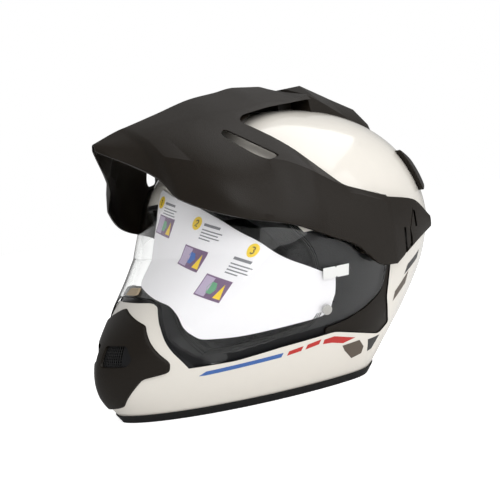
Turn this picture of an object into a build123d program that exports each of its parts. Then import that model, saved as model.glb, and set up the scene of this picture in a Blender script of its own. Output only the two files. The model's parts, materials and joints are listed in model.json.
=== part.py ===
from build123d import *
from math import cos, dist, pi, sin, sqrt
import os

os.makedirs("parts", exist_ok=True)

# Dual sport helmet, in mm. It stands on its lower rim at z = 0, looks along -Y, and the wearer's
# left is +X. Outlines are in shares of the head's half length, so they grow with the helmet.
head_half_length = 100.0
shell_half_width = 125.0
dome_radius = 117.5
rear_length = 153.0
brow_flare = 9.0
# The outlines' own zero lies this far behind the middle of the helmet's length.
outline_zero_y = 16.7
pivot_back = 4.0
pivot_y = outline_zero_y + pivot_back
pivot_z = 126.0

shell_thickness = 5.0
recess_depth = 3.2
rim_height = 2.6
shield_thickness = 2.0
shield_gap_top = 1.8
shield_sink_low = 1.5
card_thickness = 0.4
card_gap = 0.5
peak_thickness = 3.0
peak_tip_thickness = 1.4
seat_gap = 0.3
running_gap = 0.05
small_gap = 0.6
liner_depth = 38.0
reach = 300.0

# How finely a level outline of the helmet is drawn: straight steps in half a turn.
half_turn_steps = 14
half_turn_angle = pi
rear_power = 2.15
dome_power = 2.15
brow_power = 2.3
flare_height = 35.0

# height, front, rear, half width, nose power of the levels below the pivots
shell_level_shares = [
    (0.0, -1.73, 0.50, 0.86, 1.55),
    (0.25, -1.88, 0.72, 1.01, 1.6),
    (0.55, -1.85, 1.07, 1.13, 1.7),
    (0.90, -1.57, 1.41, 1.21, 2.0),
    (1.08, -1.39, 1.50, 1.24, 2.15),
]
cavity_level_shares = [
    (0.0, -1.26, 0.38, 0.66, 2.0),
    (0.25, -1.42, 0.52, 0.78, 1.9),
    (0.55, -1.45, 0.86, 0.86, 1.9),
    (0.90, -1.12, 1.10, 0.88, 2.1),
]
dome_height_shares = [0.0, 0.162, 0.332, 0.502, 0.672, 0.80, 0.902, 0.97, 0.993]


# One level outline: a rounded oval that comes to a blunter or sharper nose by its power.
def outline(front, rear, half_width, nose_power):
    points = []
    for step in range(2 * half_turn_steps):
        angle = half_turn_angle * step / half_turn_steps
        ahead = cos(angle) < 0
        power = nose_power if ahead else rear_power
        length = pivot_y - front if ahead else rear - pivot_y
        side = 1 if step < half_turn_steps else -1
        across = half_width * side * abs(sin(angle)) ** (2 / power)
        along = length * abs(cos(angle)) ** (2 / power)
        points.append((across, pivot_y - along if ahead else pivot_y + along))
    return points


# Every level of the form grown outwards by the sizes that the function grow gives.
def levels(level_shares, grow, dome_grow):
    found = []
    for height, front, rear, half_width, power in level_shares:
        z = height * head_half_length
        more = grow(z)
        front = outline_zero_y + front * head_half_length - more
        rear = outline_zero_y + rear * head_half_length + more
        half_width = half_width * head_half_length + more
        found.append((z, outline(front, rear, half_width, power)))
    radius = dome_radius + dome_grow
    for share in dome_height_shares:
        rise = share * radius
        flare = brow_flare * max(0, 1 - rise / flare_height)
        width_share = (1 - share**dome_power) ** (1 / dome_power)
        front = pivot_y - sqrt(radius**2 - rise**2) - flare
        rear = pivot_y + (rear_length + dome_grow) * width_share
        half_width = (shell_half_width + dome_grow) * width_share
        found.append((pivot_z + rise, outline(front, rear, half_width, brow_power)))
    return found


# The outline at any height, straight between the two levels around it.
def outline_at(found, z):
    for (low, low_points), (high, high_points) in zip(found, found[1:]):
        if low <= z <= high:
            share = (z - low) / (high - low)
            pairs = zip(low_points, high_points)
            return [(a + (c - a) * share, b + (d - b) * share) for (a, b), (c, d) in pairs]
    return found[0][1] if z < found[0][0] else found[-1][1]


# A solid through closed rings of points, with two flat triangles between each pair of edges. They
# part along the shorter diagonal, so the left and right sides are alike.
def stack(rings):
    faces = [Face(Wire.make_polygon(rings[0])), Face(Wire.make_polygon(rings[-1]))]
    for lower, upper in zip(rings, rings[1:]):
        edges = zip(lower, lower[1:] + lower[:1], upper, upper[1:] + upper[:1])
        for low_start, low_end, high_start, high_end in edges:
            if dist(low_start, high_end) < dist(low_end, high_start):
                triangles = [(low_start, low_end, high_end), (low_start, high_end, high_start)]
            else:
                triangles = [(low_start, low_end, high_start), (low_end, high_end, high_start)]
            faces += [Face(Wire.make_polygon(triangle)) for triangle in triangles]
    with BuildPart() as body:
        add(Solid(Shell(faces)))
    return body.part


# A solid of the form between two heights.
def form(level_shares, grow, dome_grow, low, high):
    found = levels(level_shares, grow, dome_grow)
    high = min(high, found[-1][0])
    heights = [low] + [z for z, _ in found if low < z < high] + [high]
    return stack([[(x, y, z) for x, y in outline_at(found, z)] for z in heights])


def shell_form(more, low=0.0, high=reach):
    def grow(z):
        return more

    return form(shell_level_shares, grow, more, low, high)


def cavity_form(more, low=0.0, high=reach):
    def grow(z):
        return more

    return form(cavity_level_shares, grow, more - liner_depth, low, high)


# The face shield lies flush with the shell low down and over it at the pivots.
shield_taper_low = 60.0


def shield_form(more, low, high):
    def grow(z):
        share = min(1, max(0, (z - shield_taper_low) / (pivot_z - shield_taper_low)))
        return more - shield_sink_low + (shield_gap_top + shield_sink_low) * share

    return form(shell_level_shares, grow, more + shield_gap_top, low, high)


def sized(shares):
    return [(across * head_half_length, up * head_half_length) for across, up in shares]


# A prism across the helmet from a side outline of (y, z) shares.
def side_prism(shares, low_x=-reach, high_x=reach):
    with BuildPart() as prism:
        with BuildSketch(Plane.YZ.offset(low_x)):
            with BuildLine():
                Polyline([(outline_zero_y + y, z) for y, z in sized(shares)], close=True)
            make_face()
        extrude(amount=high_x - low_x)
    return prism.part


# A prism along the helmet from a front outline of (x, z) shares.
def front_prism(shares, low_y=-reach, high_y=0.0):
    with BuildPart() as prism:
        with BuildSketch(Plane.XZ.offset(-outline_zero_y - high_y)):
            with BuildLine():
                Polyline(sized(shares), close=True)
            make_face()
        extrude(amount=high_y - low_y)
    return prism.part


# An outline with its own mirror image, for shapes that are alike on both sides.
def both_sides(shares):
    return shares + [(-x, z) for x, z in reversed(shares) if x > 0]


# A box between two corners, its y from the outlines' zero.
def block(low, high):
    with BuildPart() as body:
        middle_x, middle_y, middle_z = [(a + b) / 2 for a, b in zip(low, high)]
        with Locations([(middle_x, outline_zero_y + middle_y, middle_z)]):
            Box(*[b - a for a, b in zip(low, high)])
    return body.part


# A disc or rod that stands across the helmet, round the point (y, z).
def cross_rod(radius, low_x, high_x, y, z):
    with BuildPart() as body:
        with BuildSketch(Plane.YZ.offset(low_x)):
            with Locations([(outline_zero_y + y, z)]):
                Circle(radius)
        extrude(amount=high_x - low_x)
    return body.part


# Shell: the recess under the shield and side panels, and the eye port inside it.
recess_side_shares = [
    (-2.5, 0.44), (-1.27, 0.43), (-1.08, 0.43), (-0.74, 0.47), (-0.29, 0.50), (0.20, 0.37),
    (0.34, 0.44), (0.31, 0.50), (0.26, 0.68), (0.30, 0.95), (0.31, 1.06), (-0.10, 1.12), (-0.14, 1.34), (-2.5, 1.34),
]
recess_hump_shares = both_sides(
    [(0.0, 0.20), (0.63, 0.20), (0.61, 0.46), (0.50, 0.73), (0.46, 0.81), (0.39, 0.93), (0.30, 0.95), (0.0, 0.95)]
)
port_side_shares = [
    (-2.5, 0.52), (-1.27, 0.51), (-1.08, 0.51), (-0.74, 0.55), (-0.50, 0.58), (-0.42, 0.66),
    (-0.38, 0.80), (-0.44, 1.20), (-0.62, 1.50), (-0.80, 1.72), (-2.5, 1.72),
]
port_hump_shares = both_sides(
    [(0.0, 0.20), (0.70, 0.20), (0.67, 0.53), (0.57, 0.75), (0.53, 0.84), (0.45, 0.98), (0.34, 1.01), (0.0, 1.01)]
)
seal_side_shares = [
    (-2.6, 0.56), (-1.27, 0.55), (-1.08, 0.55), (-0.76, 0.59), (-0.53, 0.62), (-0.465, 0.68),
    (-0.43, 0.80), (-0.485, 1.19), (-0.655, 1.47), (-0.82, 1.68), (-2.6, 1.68),
]
seal_hump_shares = both_sides(
    [(0.0, 0.20), (0.74, 0.20), (0.71, 0.53), (0.61, 0.77), (0.57, 0.86), (0.485, 1.01), (0.36, 1.05), (0.0, 1.05)]
)
chin_intake_half_width = 24.0
chin_intake_low = 48.0
chin_intake_high = 68.0

pocket_radius = 18.6
pocket_x = 121.8

shell_solid = shell_form(0.0, rim_height)
shell_inside = shell_form(-shell_thickness, -rim_height)
recess_floor = shell_form(-recess_depth, -rim_height)
recess_cut = side_prism(recess_side_shares) - front_prism(recess_hump_shares) - recess_floor
port_cut = side_prism(port_side_shares) - front_prism(port_hump_shares)
chin_intake = block(
    (-chin_intake_half_width, -reach, chin_intake_low), (chin_intake_half_width, -head_half_length, chin_intake_high)
)
left_pocket = cross_rod(pocket_radius, pocket_x, shell_half_width + shell_thickness, pivot_back, pivot_z)

with BuildPart() as outer_shell:
    add(shell_solid)
    add(shell_inside, mode=Mode.SUBTRACT)
    add(recess_cut, mode=Mode.SUBTRACT)
    add(port_cut, mode=Mode.SUBTRACT)
    add(chin_intake, mode=Mode.SUBTRACT)
    add(left_pocket, mode=Mode.SUBTRACT)
    add(mirror(left_pocket, about=Plane.YZ), mode=Mode.SUBTRACT)
outer_shell.part.label = "outer_shell"
export_step(outer_shell.part, "parts/outer_shell.step")

# Rubber trim round the lower rim: a channel with the shell's edge standing in it.
trim_outside = 1.5
trim_inside = 1.2
trim_lip_height = 7.0

with BuildPart() as base_trim:
    add(shell_form(trim_outside, 0.0, trim_lip_height))
    add(shell_form(-shell_thickness - trim_inside, -rim_height, reach / 3), mode=Mode.SUBTRACT)
    add(
        shell_form(seat_gap, rim_height - seat_gap, reach / 3)
        - shell_form(-shell_thickness - seat_gap, -rim_height, reach / 2),
        mode=Mode.SUBTRACT,
    )
base_trim.part.label = "base_trim"
export_step(base_trim.part, "parts/base_trim.step")

# Rubber seal round the eye port, standing a little proud of the recess for the shield to meet.
seal_proud = 2.0
seal_back = 5.8

port_inner = side_prism(seal_side_shares) - front_prism(seal_hump_shares)

with BuildPart() as eyeport_seal:
    add(shell_form(-seal_proud, rim_height))
    add(port_cut, mode=Mode.INTERSECT)
    add(shell_form(-seal_back, -rim_height), mode=Mode.SUBTRACT)
    add(port_inner, mode=Mode.SUBTRACT)
eyeport_seal.part.label = "eyeport_seal"
export_step(eyeport_seal.part, "parts/eyeport_seal.step")

# Protective foam in three pieces: the sides and rear, the crown, and the chin bar.
liner_low = 9.0
crown_split_z = 150.0
foam_split_y = -50.0
foam_split_z = 118.0
anchor_half_depth = 8.0
anchor_y = -68.0
anchor_low = 64.0
anchor_high = 86.0
anchor_x = 66.0
anchor_back_x = 74.0

foam_body = shell_form(-shell_thickness - seat_gap, liner_low) - cavity_form(0.0, -liner_low) - port_cut
chin_zone = block((-reach, -reach, -liner_low), (reach, foam_split_y, foam_split_z))
anchor_pocket = block(
    (anchor_x - seat_gap, anchor_y - anchor_half_depth - seat_gap, anchor_low - seat_gap),
    (anchor_back_x + seat_gap, anchor_y + anchor_half_depth + seat_gap, anchor_high + seat_gap),
)

crown_zone = block((-reach, -reach, crown_split_z), (reach, reach, reach))

with BuildPart() as impact_liner:
    add(foam_body)
    add(chin_zone, mode=Mode.SUBTRACT)
    add(block((-reach, foam_split_y, -liner_low), (reach, foam_split_y + small_gap, foam_split_z)), mode=Mode.SUBTRACT)
    add(crown_zone, mode=Mode.SUBTRACT)
impact_liner.part.label = "impact_liner"
export_step(impact_liner.part, "parts/impact_liner.step")

with BuildPart() as crown_liner:
    add(foam_body)
    add(crown_zone.moved(Location((0, 0, seat_gap))), mode=Mode.INTERSECT)
crown_liner.part.label = "crown_liner"
export_step(crown_liner.part, "parts/crown_liner.step")

with BuildPart() as chin_liner:
    add(foam_body)
    add(chin_zone, mode=Mode.INTERSECT)
    add(chin_intake, mode=Mode.SUBTRACT)
    add(anchor_pocket, mode=Mode.SUBTRACT)
    add(mirror(anchor_pocket, about=Plane.YZ), mode=Mode.SUBTRACT)
chin_liner.part.label = "chin_liner"
export_step(chin_liner.part, "parts/chin_liner.step")

# Comfort lining inside the foam.
crown_pad_depth = 8.0
crown_pad_low = 150.0

with BuildPart() as crown_pad:
    add(cavity_form(-small_gap, crown_pad_low))
    add(cavity_form(-crown_pad_depth, crown_pad_low - liner_low), mode=Mode.SUBTRACT)
crown_pad.part.label = "crown_pad"
export_step(crown_pad.part, "parts/crown_pad.step")

cheek_front_y = -55.0
cheek_rear_y = 24.0
cheek_low = 27.0
cheek_high = 96.0
cheek_middle_x = 54.0
cheek_end_x = 63.0
cheek_drawn_in = 7.0

with BuildPart() as cheek_pad_left:
    for height, drawn_in in ((cheek_low, cheek_drawn_in), (cheek_low + cheek_high / 5, 0), (cheek_high, cheek_drawn_in)):
        with BuildSketch(Plane((0, outline_zero_y, height))):
            with BuildLine():
                ThreePointArc(
                    (cheek_end_x + drawn_in, cheek_front_y + drawn_in / 2),
                    (cheek_middle_x + drawn_in, (cheek_front_y + cheek_rear_y) / 2),
                    (cheek_end_x + drawn_in, cheek_rear_y - drawn_in / 2),
                )
                Polyline(
                    (cheek_end_x + drawn_in, cheek_rear_y - drawn_in / 2),
                    (shell_half_width, cheek_rear_y - drawn_in / 2),
                    (shell_half_width, cheek_front_y + drawn_in / 2),
                    (cheek_end_x + drawn_in, cheek_front_y + drawn_in / 2),
                )
            make_face()
    loft(ruled=True)
    add(cavity_form(-small_gap, liner_low), mode=Mode.INTERSECT)
cheek_pad_left.part.label = "cheek_pad_left"
export_step(cheek_pad_left.part, "parts/cheek_pad_left.step")

with BuildPart() as cheek_pad_right:
    mirror(cheek_pad_left.part, about=Plane.YZ)
cheek_pad_right.part.label = "cheek_pad_right"
export_step(cheek_pad_right.part, "parts/cheek_pad_right.step")

neck_roll_low = 4.0
neck_roll_high = 25.0
neck_roll_depth = 12.0
neck_roll_front_y = -25.0

with BuildPart() as neck_roll:
    add(cavity_form(-small_gap, neck_roll_low, neck_roll_high))
    add(cavity_form(-neck_roll_depth, 0.0, neck_roll_high + liner_low), mode=Mode.SUBTRACT)
    add(block((-reach, -reach, -liner_low), (reach, neck_roll_front_y, reach)), mode=Mode.SUBTRACT)
neck_roll.part.label = "neck_roll"
export_step(neck_roll.part, "parts/neck_roll.step")

curtain_low = 5.0
curtain_high = 7.0
curtain_rear_y = -112.0

with BuildPart() as chin_curtain:
    add(shell_form(-shell_thickness - trim_inside - seat_gap, curtain_low, curtain_high))
    add(block((-reach, curtain_rear_y, 0.0), (reach, reach, liner_low)), mode=Mode.SUBTRACT)
    with BuildSketch(Plane.XY):
        with Locations([(0, outline_zero_y + curtain_rear_y)]):
            Ellipse(head_half_length * 0.42, head_half_length * 0.24)
    extrude(amount=liner_low, mode=Mode.SUBTRACT)
chin_curtain.part.label = "chin_curtain"
export_step(chin_curtain.part, "parts/chin_curtain.step")

guard_shares = both_sides([(0.0, 0.70), (0.30, 0.72), (0.36, 0.86), (0.24, 1.10), (0.0, 1.14)])
guard_depth = 2.6

with BuildPart() as breath_guard:
    add(cavity_form(-small_gap, liner_low))
    add(cavity_form(-guard_depth, 0.0), mode=Mode.SUBTRACT)
    add(front_prism(guard_shares), mode=Mode.INTERSECT)
breath_guard.part.label = "breath_guard"
export_step(breath_guard.part, "parts/breath_guard.step")

# Chin strap: webbing from each anchor, with a ring at the end of the left one.
strap_thickness = 1.7
strap_half_width = 11.0
ring_x = 10.0
ring_z = 10.0
ring_wire = 2.0
ring_reach = 16.0
ring_half_width = 17.0
loop_radius = 4.0
strap_middle_y = outline_zero_y + anchor_y
left_strap_shares = [(0.642, 0.84), (0.642, 0.42), (0.50, 0.165), (0.13, 0.10)]
right_strap_shares = [(-0.642, 0.84), (-0.642, 0.42), (-0.50, 0.165), (-0.10, 0.082)]


def strap(shares):
    with BuildPart() as webbing:
        with BuildSketch(Plane.XZ.offset(-strap_middle_y - strap_half_width)):
            with BuildLine():
                Polyline(sized(shares))
            trace(line_width=strap_thickness)
        extrude(amount=2 * strap_half_width)
    return webbing.part


def ring_rod(radius, half_length):
    with BuildPart() as rod:
        with BuildSketch(Plane.XZ.offset(-strap_middle_y - half_length)):
            with Locations([(ring_x, ring_z)]):
                Circle(radius)
        extrude(amount=2 * half_length)
    return rod.part


with BuildPart() as chin_strap_left:
    add(strap(left_strap_shares))
    add(ring_rod(loop_radius, strap_half_width))
    add(ring_rod(ring_wire + running_gap, ring_half_width), mode=Mode.SUBTRACT)
chin_strap_left.part.label = "chin_strap_left"
export_step(chin_strap_left.part, "parts/chin_strap_left.step")

with BuildPart() as chin_strap_right:
    add(strap(right_strap_shares))
chin_strap_right.part.label = "chin_strap_right"
export_step(chin_strap_right.part, "parts/chin_strap_right.step")

with BuildPart() as strap_ring:
    add(ring_rod(ring_wire, ring_half_width))
    for side in (-1, 1):
        with BuildSketch(Plane.YZ.offset(ring_x)):
            with Locations([(strap_middle_y + side * (ring_half_width - ring_wire), ring_z)]):
                Circle(ring_wire)
        extrude(amount=-ring_reach)
    with BuildSketch(Plane.XZ.offset(-strap_middle_y - ring_half_width)):
        with Locations([(ring_x - ring_reach, ring_z)]):
            Circle(ring_wire)
    extrude(amount=2 * ring_half_width)
strap_ring.part.label = "strap_ring"
export_step(strap_ring.part, "parts/strap_ring.step")

left_anchor = block(
    (anchor_x, anchor_y - anchor_half_depth, anchor_low), (anchor_back_x, anchor_y + anchor_half_depth, anchor_high)
)

with BuildPart() as strap_anchors:
    add(left_anchor)
    add(mirror(left_anchor, about=Plane.YZ))
strap_anchors.part.label = "strap_anchors"
export_step(strap_anchors.part, "parts/strap_anchors.step")

# Pivot parts: a base plate with a boss in each shell pocket, and a cap on the boss.
plate_radius = 18.0
plate_back_x = pocket_x + seat_gap
plate_front_x = 123.9
boss_radius = 9.0
boss_end_x = 128.9
cap_radius = 14.0
cap_back_x = boss_end_x + seat_gap
cap_front_x = 130.8

with BuildPart() as pivot_plate_left:
    add(cross_rod(plate_radius, plate_back_x, plate_front_x, pivot_back, pivot_z))
    add(cross_rod(boss_radius, plate_front_x, boss_end_x, pivot_back, pivot_z))
pivot_plate_left.part.label = "pivot_plate_left"
export_step(pivot_plate_left.part, "parts/pivot_plate_left.step")

with BuildPart() as pivot_plate_right:
    mirror(pivot_plate_left.part, about=Plane.YZ)
pivot_plate_right.part.label = "pivot_plate_right"
export_step(pivot_plate_right.part, "parts/pivot_plate_right.step")

with BuildPart() as pivot_cap_left:
    add(cross_rod(cap_radius, cap_back_x, cap_front_x, pivot_back, pivot_z))
pivot_cap_left.part.label = "pivot_cap_left"
export_step(pivot_cap_left.part, "parts/pivot_cap_left.step")

with BuildPart() as pivot_cap_right:
    mirror(pivot_cap_left.part, about=Plane.YZ)
pivot_cap_right.part.label = "pivot_cap_right"
export_step(pivot_cap_right.part, "parts/pivot_cap_right.step")

# Face shield, with what rides on it.
shield_side_shares = [
    (-2.5, 0.505), (-1.34, 0.51), (-1.10, 0.50), (-0.76, 0.55), (-0.38, 0.57), (-0.17, 0.60),
    (0.0, 0.66), (0.14, 0.74), (0.19, 0.80), (0.22, 0.94), (0.30, 1.03), (0.36, 1.14), (0.37, 1.28),
    (0.34, 1.42), (0.26, 1.53), (0.14, 1.58), (0.04, 1.58), (-0.20, 1.58), (-0.45, 1.60), (-0.62, 1.65),
    (-0.80, 1.79), (-0.96, 1.88), (-2.5, 1.90),
]
shield_hump_shares = both_sides(
    [(0.0, 0.20), (0.67, 0.20), (0.66, 0.52), (0.62, 0.58), (0.51, 0.74), (0.46, 0.83), (0.36, 0.97), (0.13, 0.99), (0.0, 0.99)]
)
tab_shares = [(0.68, 0.54), (0.69, 0.45), (0.73, 0.435), (0.76, 0.45), (0.77, 0.54)]
shield_low = 43.0
shield_high = 205.0
pin_y = -39.0
pin_z = 71.0
pin_radius = 2.0
pin_head_radius = 4.0
pin_head_height = 2.0
pin_stem_length = 2.6
pin_surface_x = 112.9
pin_out_share = (0.936, -0.197, -0.291)

shield_outer = shield_form(shield_thickness, shield_low, shield_high)
shield_inner = shield_form(0.0, shield_low - liner_low, shield_high + liner_low)


# A disc or stem square to the shield's face at the pin, between two heights over that face.
def pin_rod(radius, low, high):
    face = Plane(origin=(pin_surface_x, outline_zero_y + pin_y, pin_z), z_dir=pin_out_share)
    with BuildPart() as body:
        with BuildSketch(face.offset(low)):
            Circle(radius)
        extrude(amount=high - low)
    return body.part


pin_hole = pin_rod(pin_radius + running_gap, -2 * pin_stem_length, pin_stem_length)
pivot_holes = cross_rod(boss_radius + running_gap, -reach, reach, pivot_back, pivot_z)
shield_outline = side_prism(shield_side_shares) - front_prism(shield_hump_shares)

with BuildPart() as face_shield:
    add(shield_outer)
    add(shield_inner, mode=Mode.SUBTRACT)
    add(shield_outline + front_prism(tab_shares, -reach, -head_half_length), mode=Mode.INTERSECT)
    add(pin_hole, mode=Mode.SUBTRACT)
    add(mirror(pin_hole, about=Plane.YZ), mode=Mode.SUBTRACT)
    add(pivot_holes, mode=Mode.SUBTRACT)
face_shield.part.label = "face_shield"
export_step(face_shield.part, "parts/face_shield.step")

card_shares = [
    (-0.02, 1.08), (0.50, 0.92), (0.58, 0.84), (0.62, 0.74), (0.69, 0.65), (0.72, 0.64), (0.84, 0.62),
    (0.96, 0.63), (1.08, 0.65), (1.11, 0.69), (1.17, 0.87), (1.19, 0.97), (1.16, 1.08), (0.99, 1.32),
    (0.72, 1.52), (0.48, 1.65), (-0.13, 1.85),
]

with BuildPart() as shield_card:
    add(shield_form(-card_gap, shield_low, shield_high))
    add(shield_form(-card_gap - card_thickness, shield_low - liner_low, shield_high + liner_low), mode=Mode.SUBTRACT)
    add(front_prism(card_shares, -reach, -head_half_length * 0.30), mode=Mode.INTERSECT)
    add(pin_rod(pin_head_radius, -2 * pin_stem_length, pin_stem_length), mode=Mode.SUBTRACT)
shield_card.part.label = "shield_card"
export_step(shield_card.part, "parts/shield_card.step")

left_pin = pin_rod(pin_radius, -pin_stem_length, small_gap)
left_pin += pin_rod(pin_head_radius, small_gap, small_gap + pin_head_height)
label_seat = shield_form(shield_thickness + seat_gap, shield_low, shield_high)
tab_face = shield_form(shield_thickness + seat_gap + pin_head_height, shield_low, shield_high)

with BuildPart() as shield_pins:
    add(left_pin)
    add(mirror(left_pin, about=Plane.YZ))
shield_pins.part.label = "shield_pins"
export_step(shield_pins.part, "parts/shield_pins.step")

label_shares = [(-0.43, 1.04), (-0.20, 1.04), (-0.20, 0.95), (-0.43, 0.95)]

with BuildPart() as shield_label:
    add(shield_form(shield_thickness + seat_gap + seat_gap, shield_low, shield_high))
    add(label_seat, mode=Mode.SUBTRACT)
    add(side_prism(label_shares, 0.0, reach), mode=Mode.INTERSECT)
shield_label.part.label = "shield_label"
export_step(shield_label.part, "parts/shield_label.step")

latch_shares = [(-0.10, 1.01), (0.10, 1.01), (0.08, 1.06), (-0.08, 1.06)]

with BuildPart() as shield_tab:
    add(tab_face)
    add(label_seat, mode=Mode.SUBTRACT)
    add(front_prism(latch_shares), mode=Mode.INTERSECT)
shield_tab.part.label = "shield_tab"
export_step(shield_tab.part, "parts/shield_tab.step")

# Side panels: thin plates in the recess behind and below the shield.
panel_shares = [
    (-0.37, 0.50), (-0.29, 0.508), (0.20, 0.377), (0.334, 0.441), (0.304, 0.50), (0.254, 0.68), (0.294, 0.95),
    (0.304, 1.05), (0.265, 1.05), (0.245, 0.94), (0.215, 0.79), (0.16, 0.72), (0.015, 0.64), (-0.17, 0.58), (-0.37, 0.55),
]

with BuildPart() as side_panel_left:
    add(shell_form(-recess_depth + seat_gap + shield_thickness, rim_height + liner_low, head_half_length * 1.2))
    add(shell_form(-recess_depth + seat_gap, rim_height, head_half_length * 1.3), mode=Mode.SUBTRACT)
    add(side_prism(panel_shares, 0.0, reach), mode=Mode.INTERSECT)
side_panel_left.part.label = "side_panel_left"
export_step(side_panel_left.part, "parts/side_panel_left.step")

with BuildPart() as side_panel_right:
    mirror(side_panel_left.part, about=Plane.YZ)
side_panel_right.part.label = "side_panel_right"
export_step(side_panel_right.part, "parts/side_panel_right.step")

# Peak: a creased thin shell through cross sections, from its pointed tip to the side wings.
# Each section runs from the ridge down to the lower edge on the left side, as (x, z) shares.
peak_section_shares = [
    (-1.62, [(0.0, 2.27), (0.020, 2.265), (0.025, 2.255), (0.030, 2.245), (0.032, 2.235), (0.034, 2.225), (0.034, 2.217), (0.03, 2.21)]),
    (-1.38, [(0.0, 2.37), (0.13, 2.303), (0.31, 2.21), (0.43, 2.11), (0.54, 1.94), (0.555, 1.925), (0.565, 1.917), (0.57, 1.91)]),
    (-1.30, [(0.0, 2.394), (0.17, 2.323), (0.36, 2.225), (0.58, 2.065), (0.675, 1.885), (0.69, 1.83), (0.705, 1.775), (0.715, 1.725)]),
    (-1.02, [(0.0, 2.483), (0.29, 2.372), (0.49, 2.26), (0.885, 1.952), (1.013, 1.79), (1.055, 1.65), (1.06, 1.59), (1.045, 1.53)]),
    (-0.65, [(0.0, 2.60), (0.44, 2.412), (0.805, 2.138), (1.07, 1.925), (1.16, 1.725), (1.19, 1.56), (1.22, 1.475), (1.22, 1.413)]),
    (-0.40, [(0.0, 2.644), (0.47, 2.44), (0.922, 2.109), (1.289, 1.759), (1.29, 1.677), (1.311, 1.575), (1.33, 1.436), (1.325, 1.284)]),
    (-0.17, [(0.0, 2.685), (0.495, 2.462), (0.88, 2.08), (1.285, 1.65), (1.29, 1.635), (1.32, 1.58), (1.345, 1.40), (1.335, 1.185)]),
    (0.10, [(0.0, 2.685), (0.50, 2.465), (0.88, 2.05), (1.30, 1.56), (1.31, 1.54), (1.335, 1.51), (1.35, 1.28), (1.345, 0.975)]),
    (0.25, [(0.0, 2.64), (0.51, 2.50), (0.88, 2.05), (1.315, 1.51), (1.32, 1.495), (1.335, 1.46), (1.345, 1.25), (1.335, 0.96)]),
]
wing_section_shares = [
    (0.25, [(1.315, 1.51), (1.32, 1.495), (1.335, 1.46), (1.345, 1.25), (1.335, 0.96)]),
    (0.60, [(1.265, 1.45), (1.27, 1.40), (1.275, 1.35), (1.28, 1.22), (1.265, 1.105)]),
    (0.85, [(1.21, 1.28), (1.212, 1.26), (1.212, 1.24), (1.21, 1.21), (1.205, 1.19)]),
]
window_shares = [
    (-0.60, 2.29), (-0.55, 2.21), (-0.50, 2.11), (-0.38, 1.91), (-0.17, 1.655), (0.24, 1.523), (0.60, 1.50),
    (0.60, 2.36), (0.36, 2.405), (0.23, 2.455), (-0.22, 2.405), (-0.53, 2.345),
]
slot_shares = [(-0.83, 2.19), (-0.76, 2.24), (-0.57, 1.945), (-0.67, 1.925), (-0.71, 1.955), (-0.74, 1.995)]
slot_inside_x = 55.0


# The inner side of a section, moved in at the flanks and down at the ridge by the wall's thickness.
def section_inside(points, wall):
    edge_x = points[-1][0]
    return [(x * (1 - wall / edge_x), z - wall * (1 - x / edge_x)) for x, z in points]


def mirrored_ring(points):
    return [(-x, z) for x, z in reversed(points) if x > 0] + points


# A solid loft through sections that are alike on both sides; drop carries its flanks further down.
def arch(sections, drop=0.0):
    rings = []
    for y, points in sections:
        edge_x, edge_z = points[-1]
        ring = mirrored_ring(points + [(edge_x, edge_z - drop)] if drop else points)
        rings.append([(x, outline_zero_y + y, z) for x, z in ring])
    return stack(rings)


tip_inset = 2.0
inside_drop = 12.0
peak_outside = [(y * head_half_length, sized(shares)) for y, shares in peak_section_shares]
peak_inside = [(y, section_inside(points, peak_thickness)) for y, points in peak_outside[1:]]
tip_y, tip_points = peak_outside[0]
peak_inside = [(tip_y + tip_inset, section_inside(tip_points, peak_tip_thickness))] + peak_inside
rear_y, rear_points = peak_inside[-1]
peak_inside[-1] = (rear_y + tip_inset, rear_points)
peak_hood = arch(peak_outside) - arch(peak_inside, inside_drop)
under_peak = arch(peak_inside, inside_drop).moved(Location((0, 0, -small_gap)))

wing_block_x = 90.0


# A solid flank: the section's outer side moved in by inset, closed by a flat inner wall.
def flank(sections, inset=0.0, over=0.0):
    rings = []
    for y, shares in sections:
        points = [(x - inset, z) for x, z in sized(shares)]
        top_z = points[0][1] + over
        low_z = points[-1][1] - over
        ring = [(wing_block_x, top_z), (points[0][0], top_z)] + points[1:-1]
        ring += [(points[-1][0], low_z), (wing_block_x, low_z)]
        rings.append([(x, outline_zero_y + y * head_half_length, z) for x, z in ring])
    return stack(rings)


left_wing = flank(wing_section_shares) - flank(wing_section_shares, peak_thickness, peak_thickness)

left_slot = side_prism(slot_shares, slot_inside_x, reach)

with BuildPart() as peak:
    add(peak_hood)
    add(side_prism(window_shares), mode=Mode.SUBTRACT)
    add(left_slot, mode=Mode.SUBTRACT)
    add(mirror(left_slot, about=Plane.YZ), mode=Mode.SUBTRACT)
    add(left_wing)
    add(mirror(left_wing, about=Plane.YZ))
peak.part.label = "peak"
export_step(peak.part, "parts/peak.step")

# Bracket under the peak: a curved air guide with a foot on the crown and a post to the ridge.
guide_gap = 9.5
guide_thickness = 2.5
guide_shares = [
    (-0.60, 2.12), (-0.41, 2.12), (-0.31, 2.13), (-0.21, 2.23), (-0.07, 2.28), (0.22, 2.34), (0.22, 2.70), (-0.60, 2.70),
]
foot_low = (-30.0, 7.0, 220.0)
foot_high = (30.0, 22.0, 256.0)
post_half_width = 14.0
post_base_z = 244.0
post_ridge_z = 268.0
post_side_z = 263.0
post_front_y = 9.0
post_rear_y = 21.0

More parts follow.
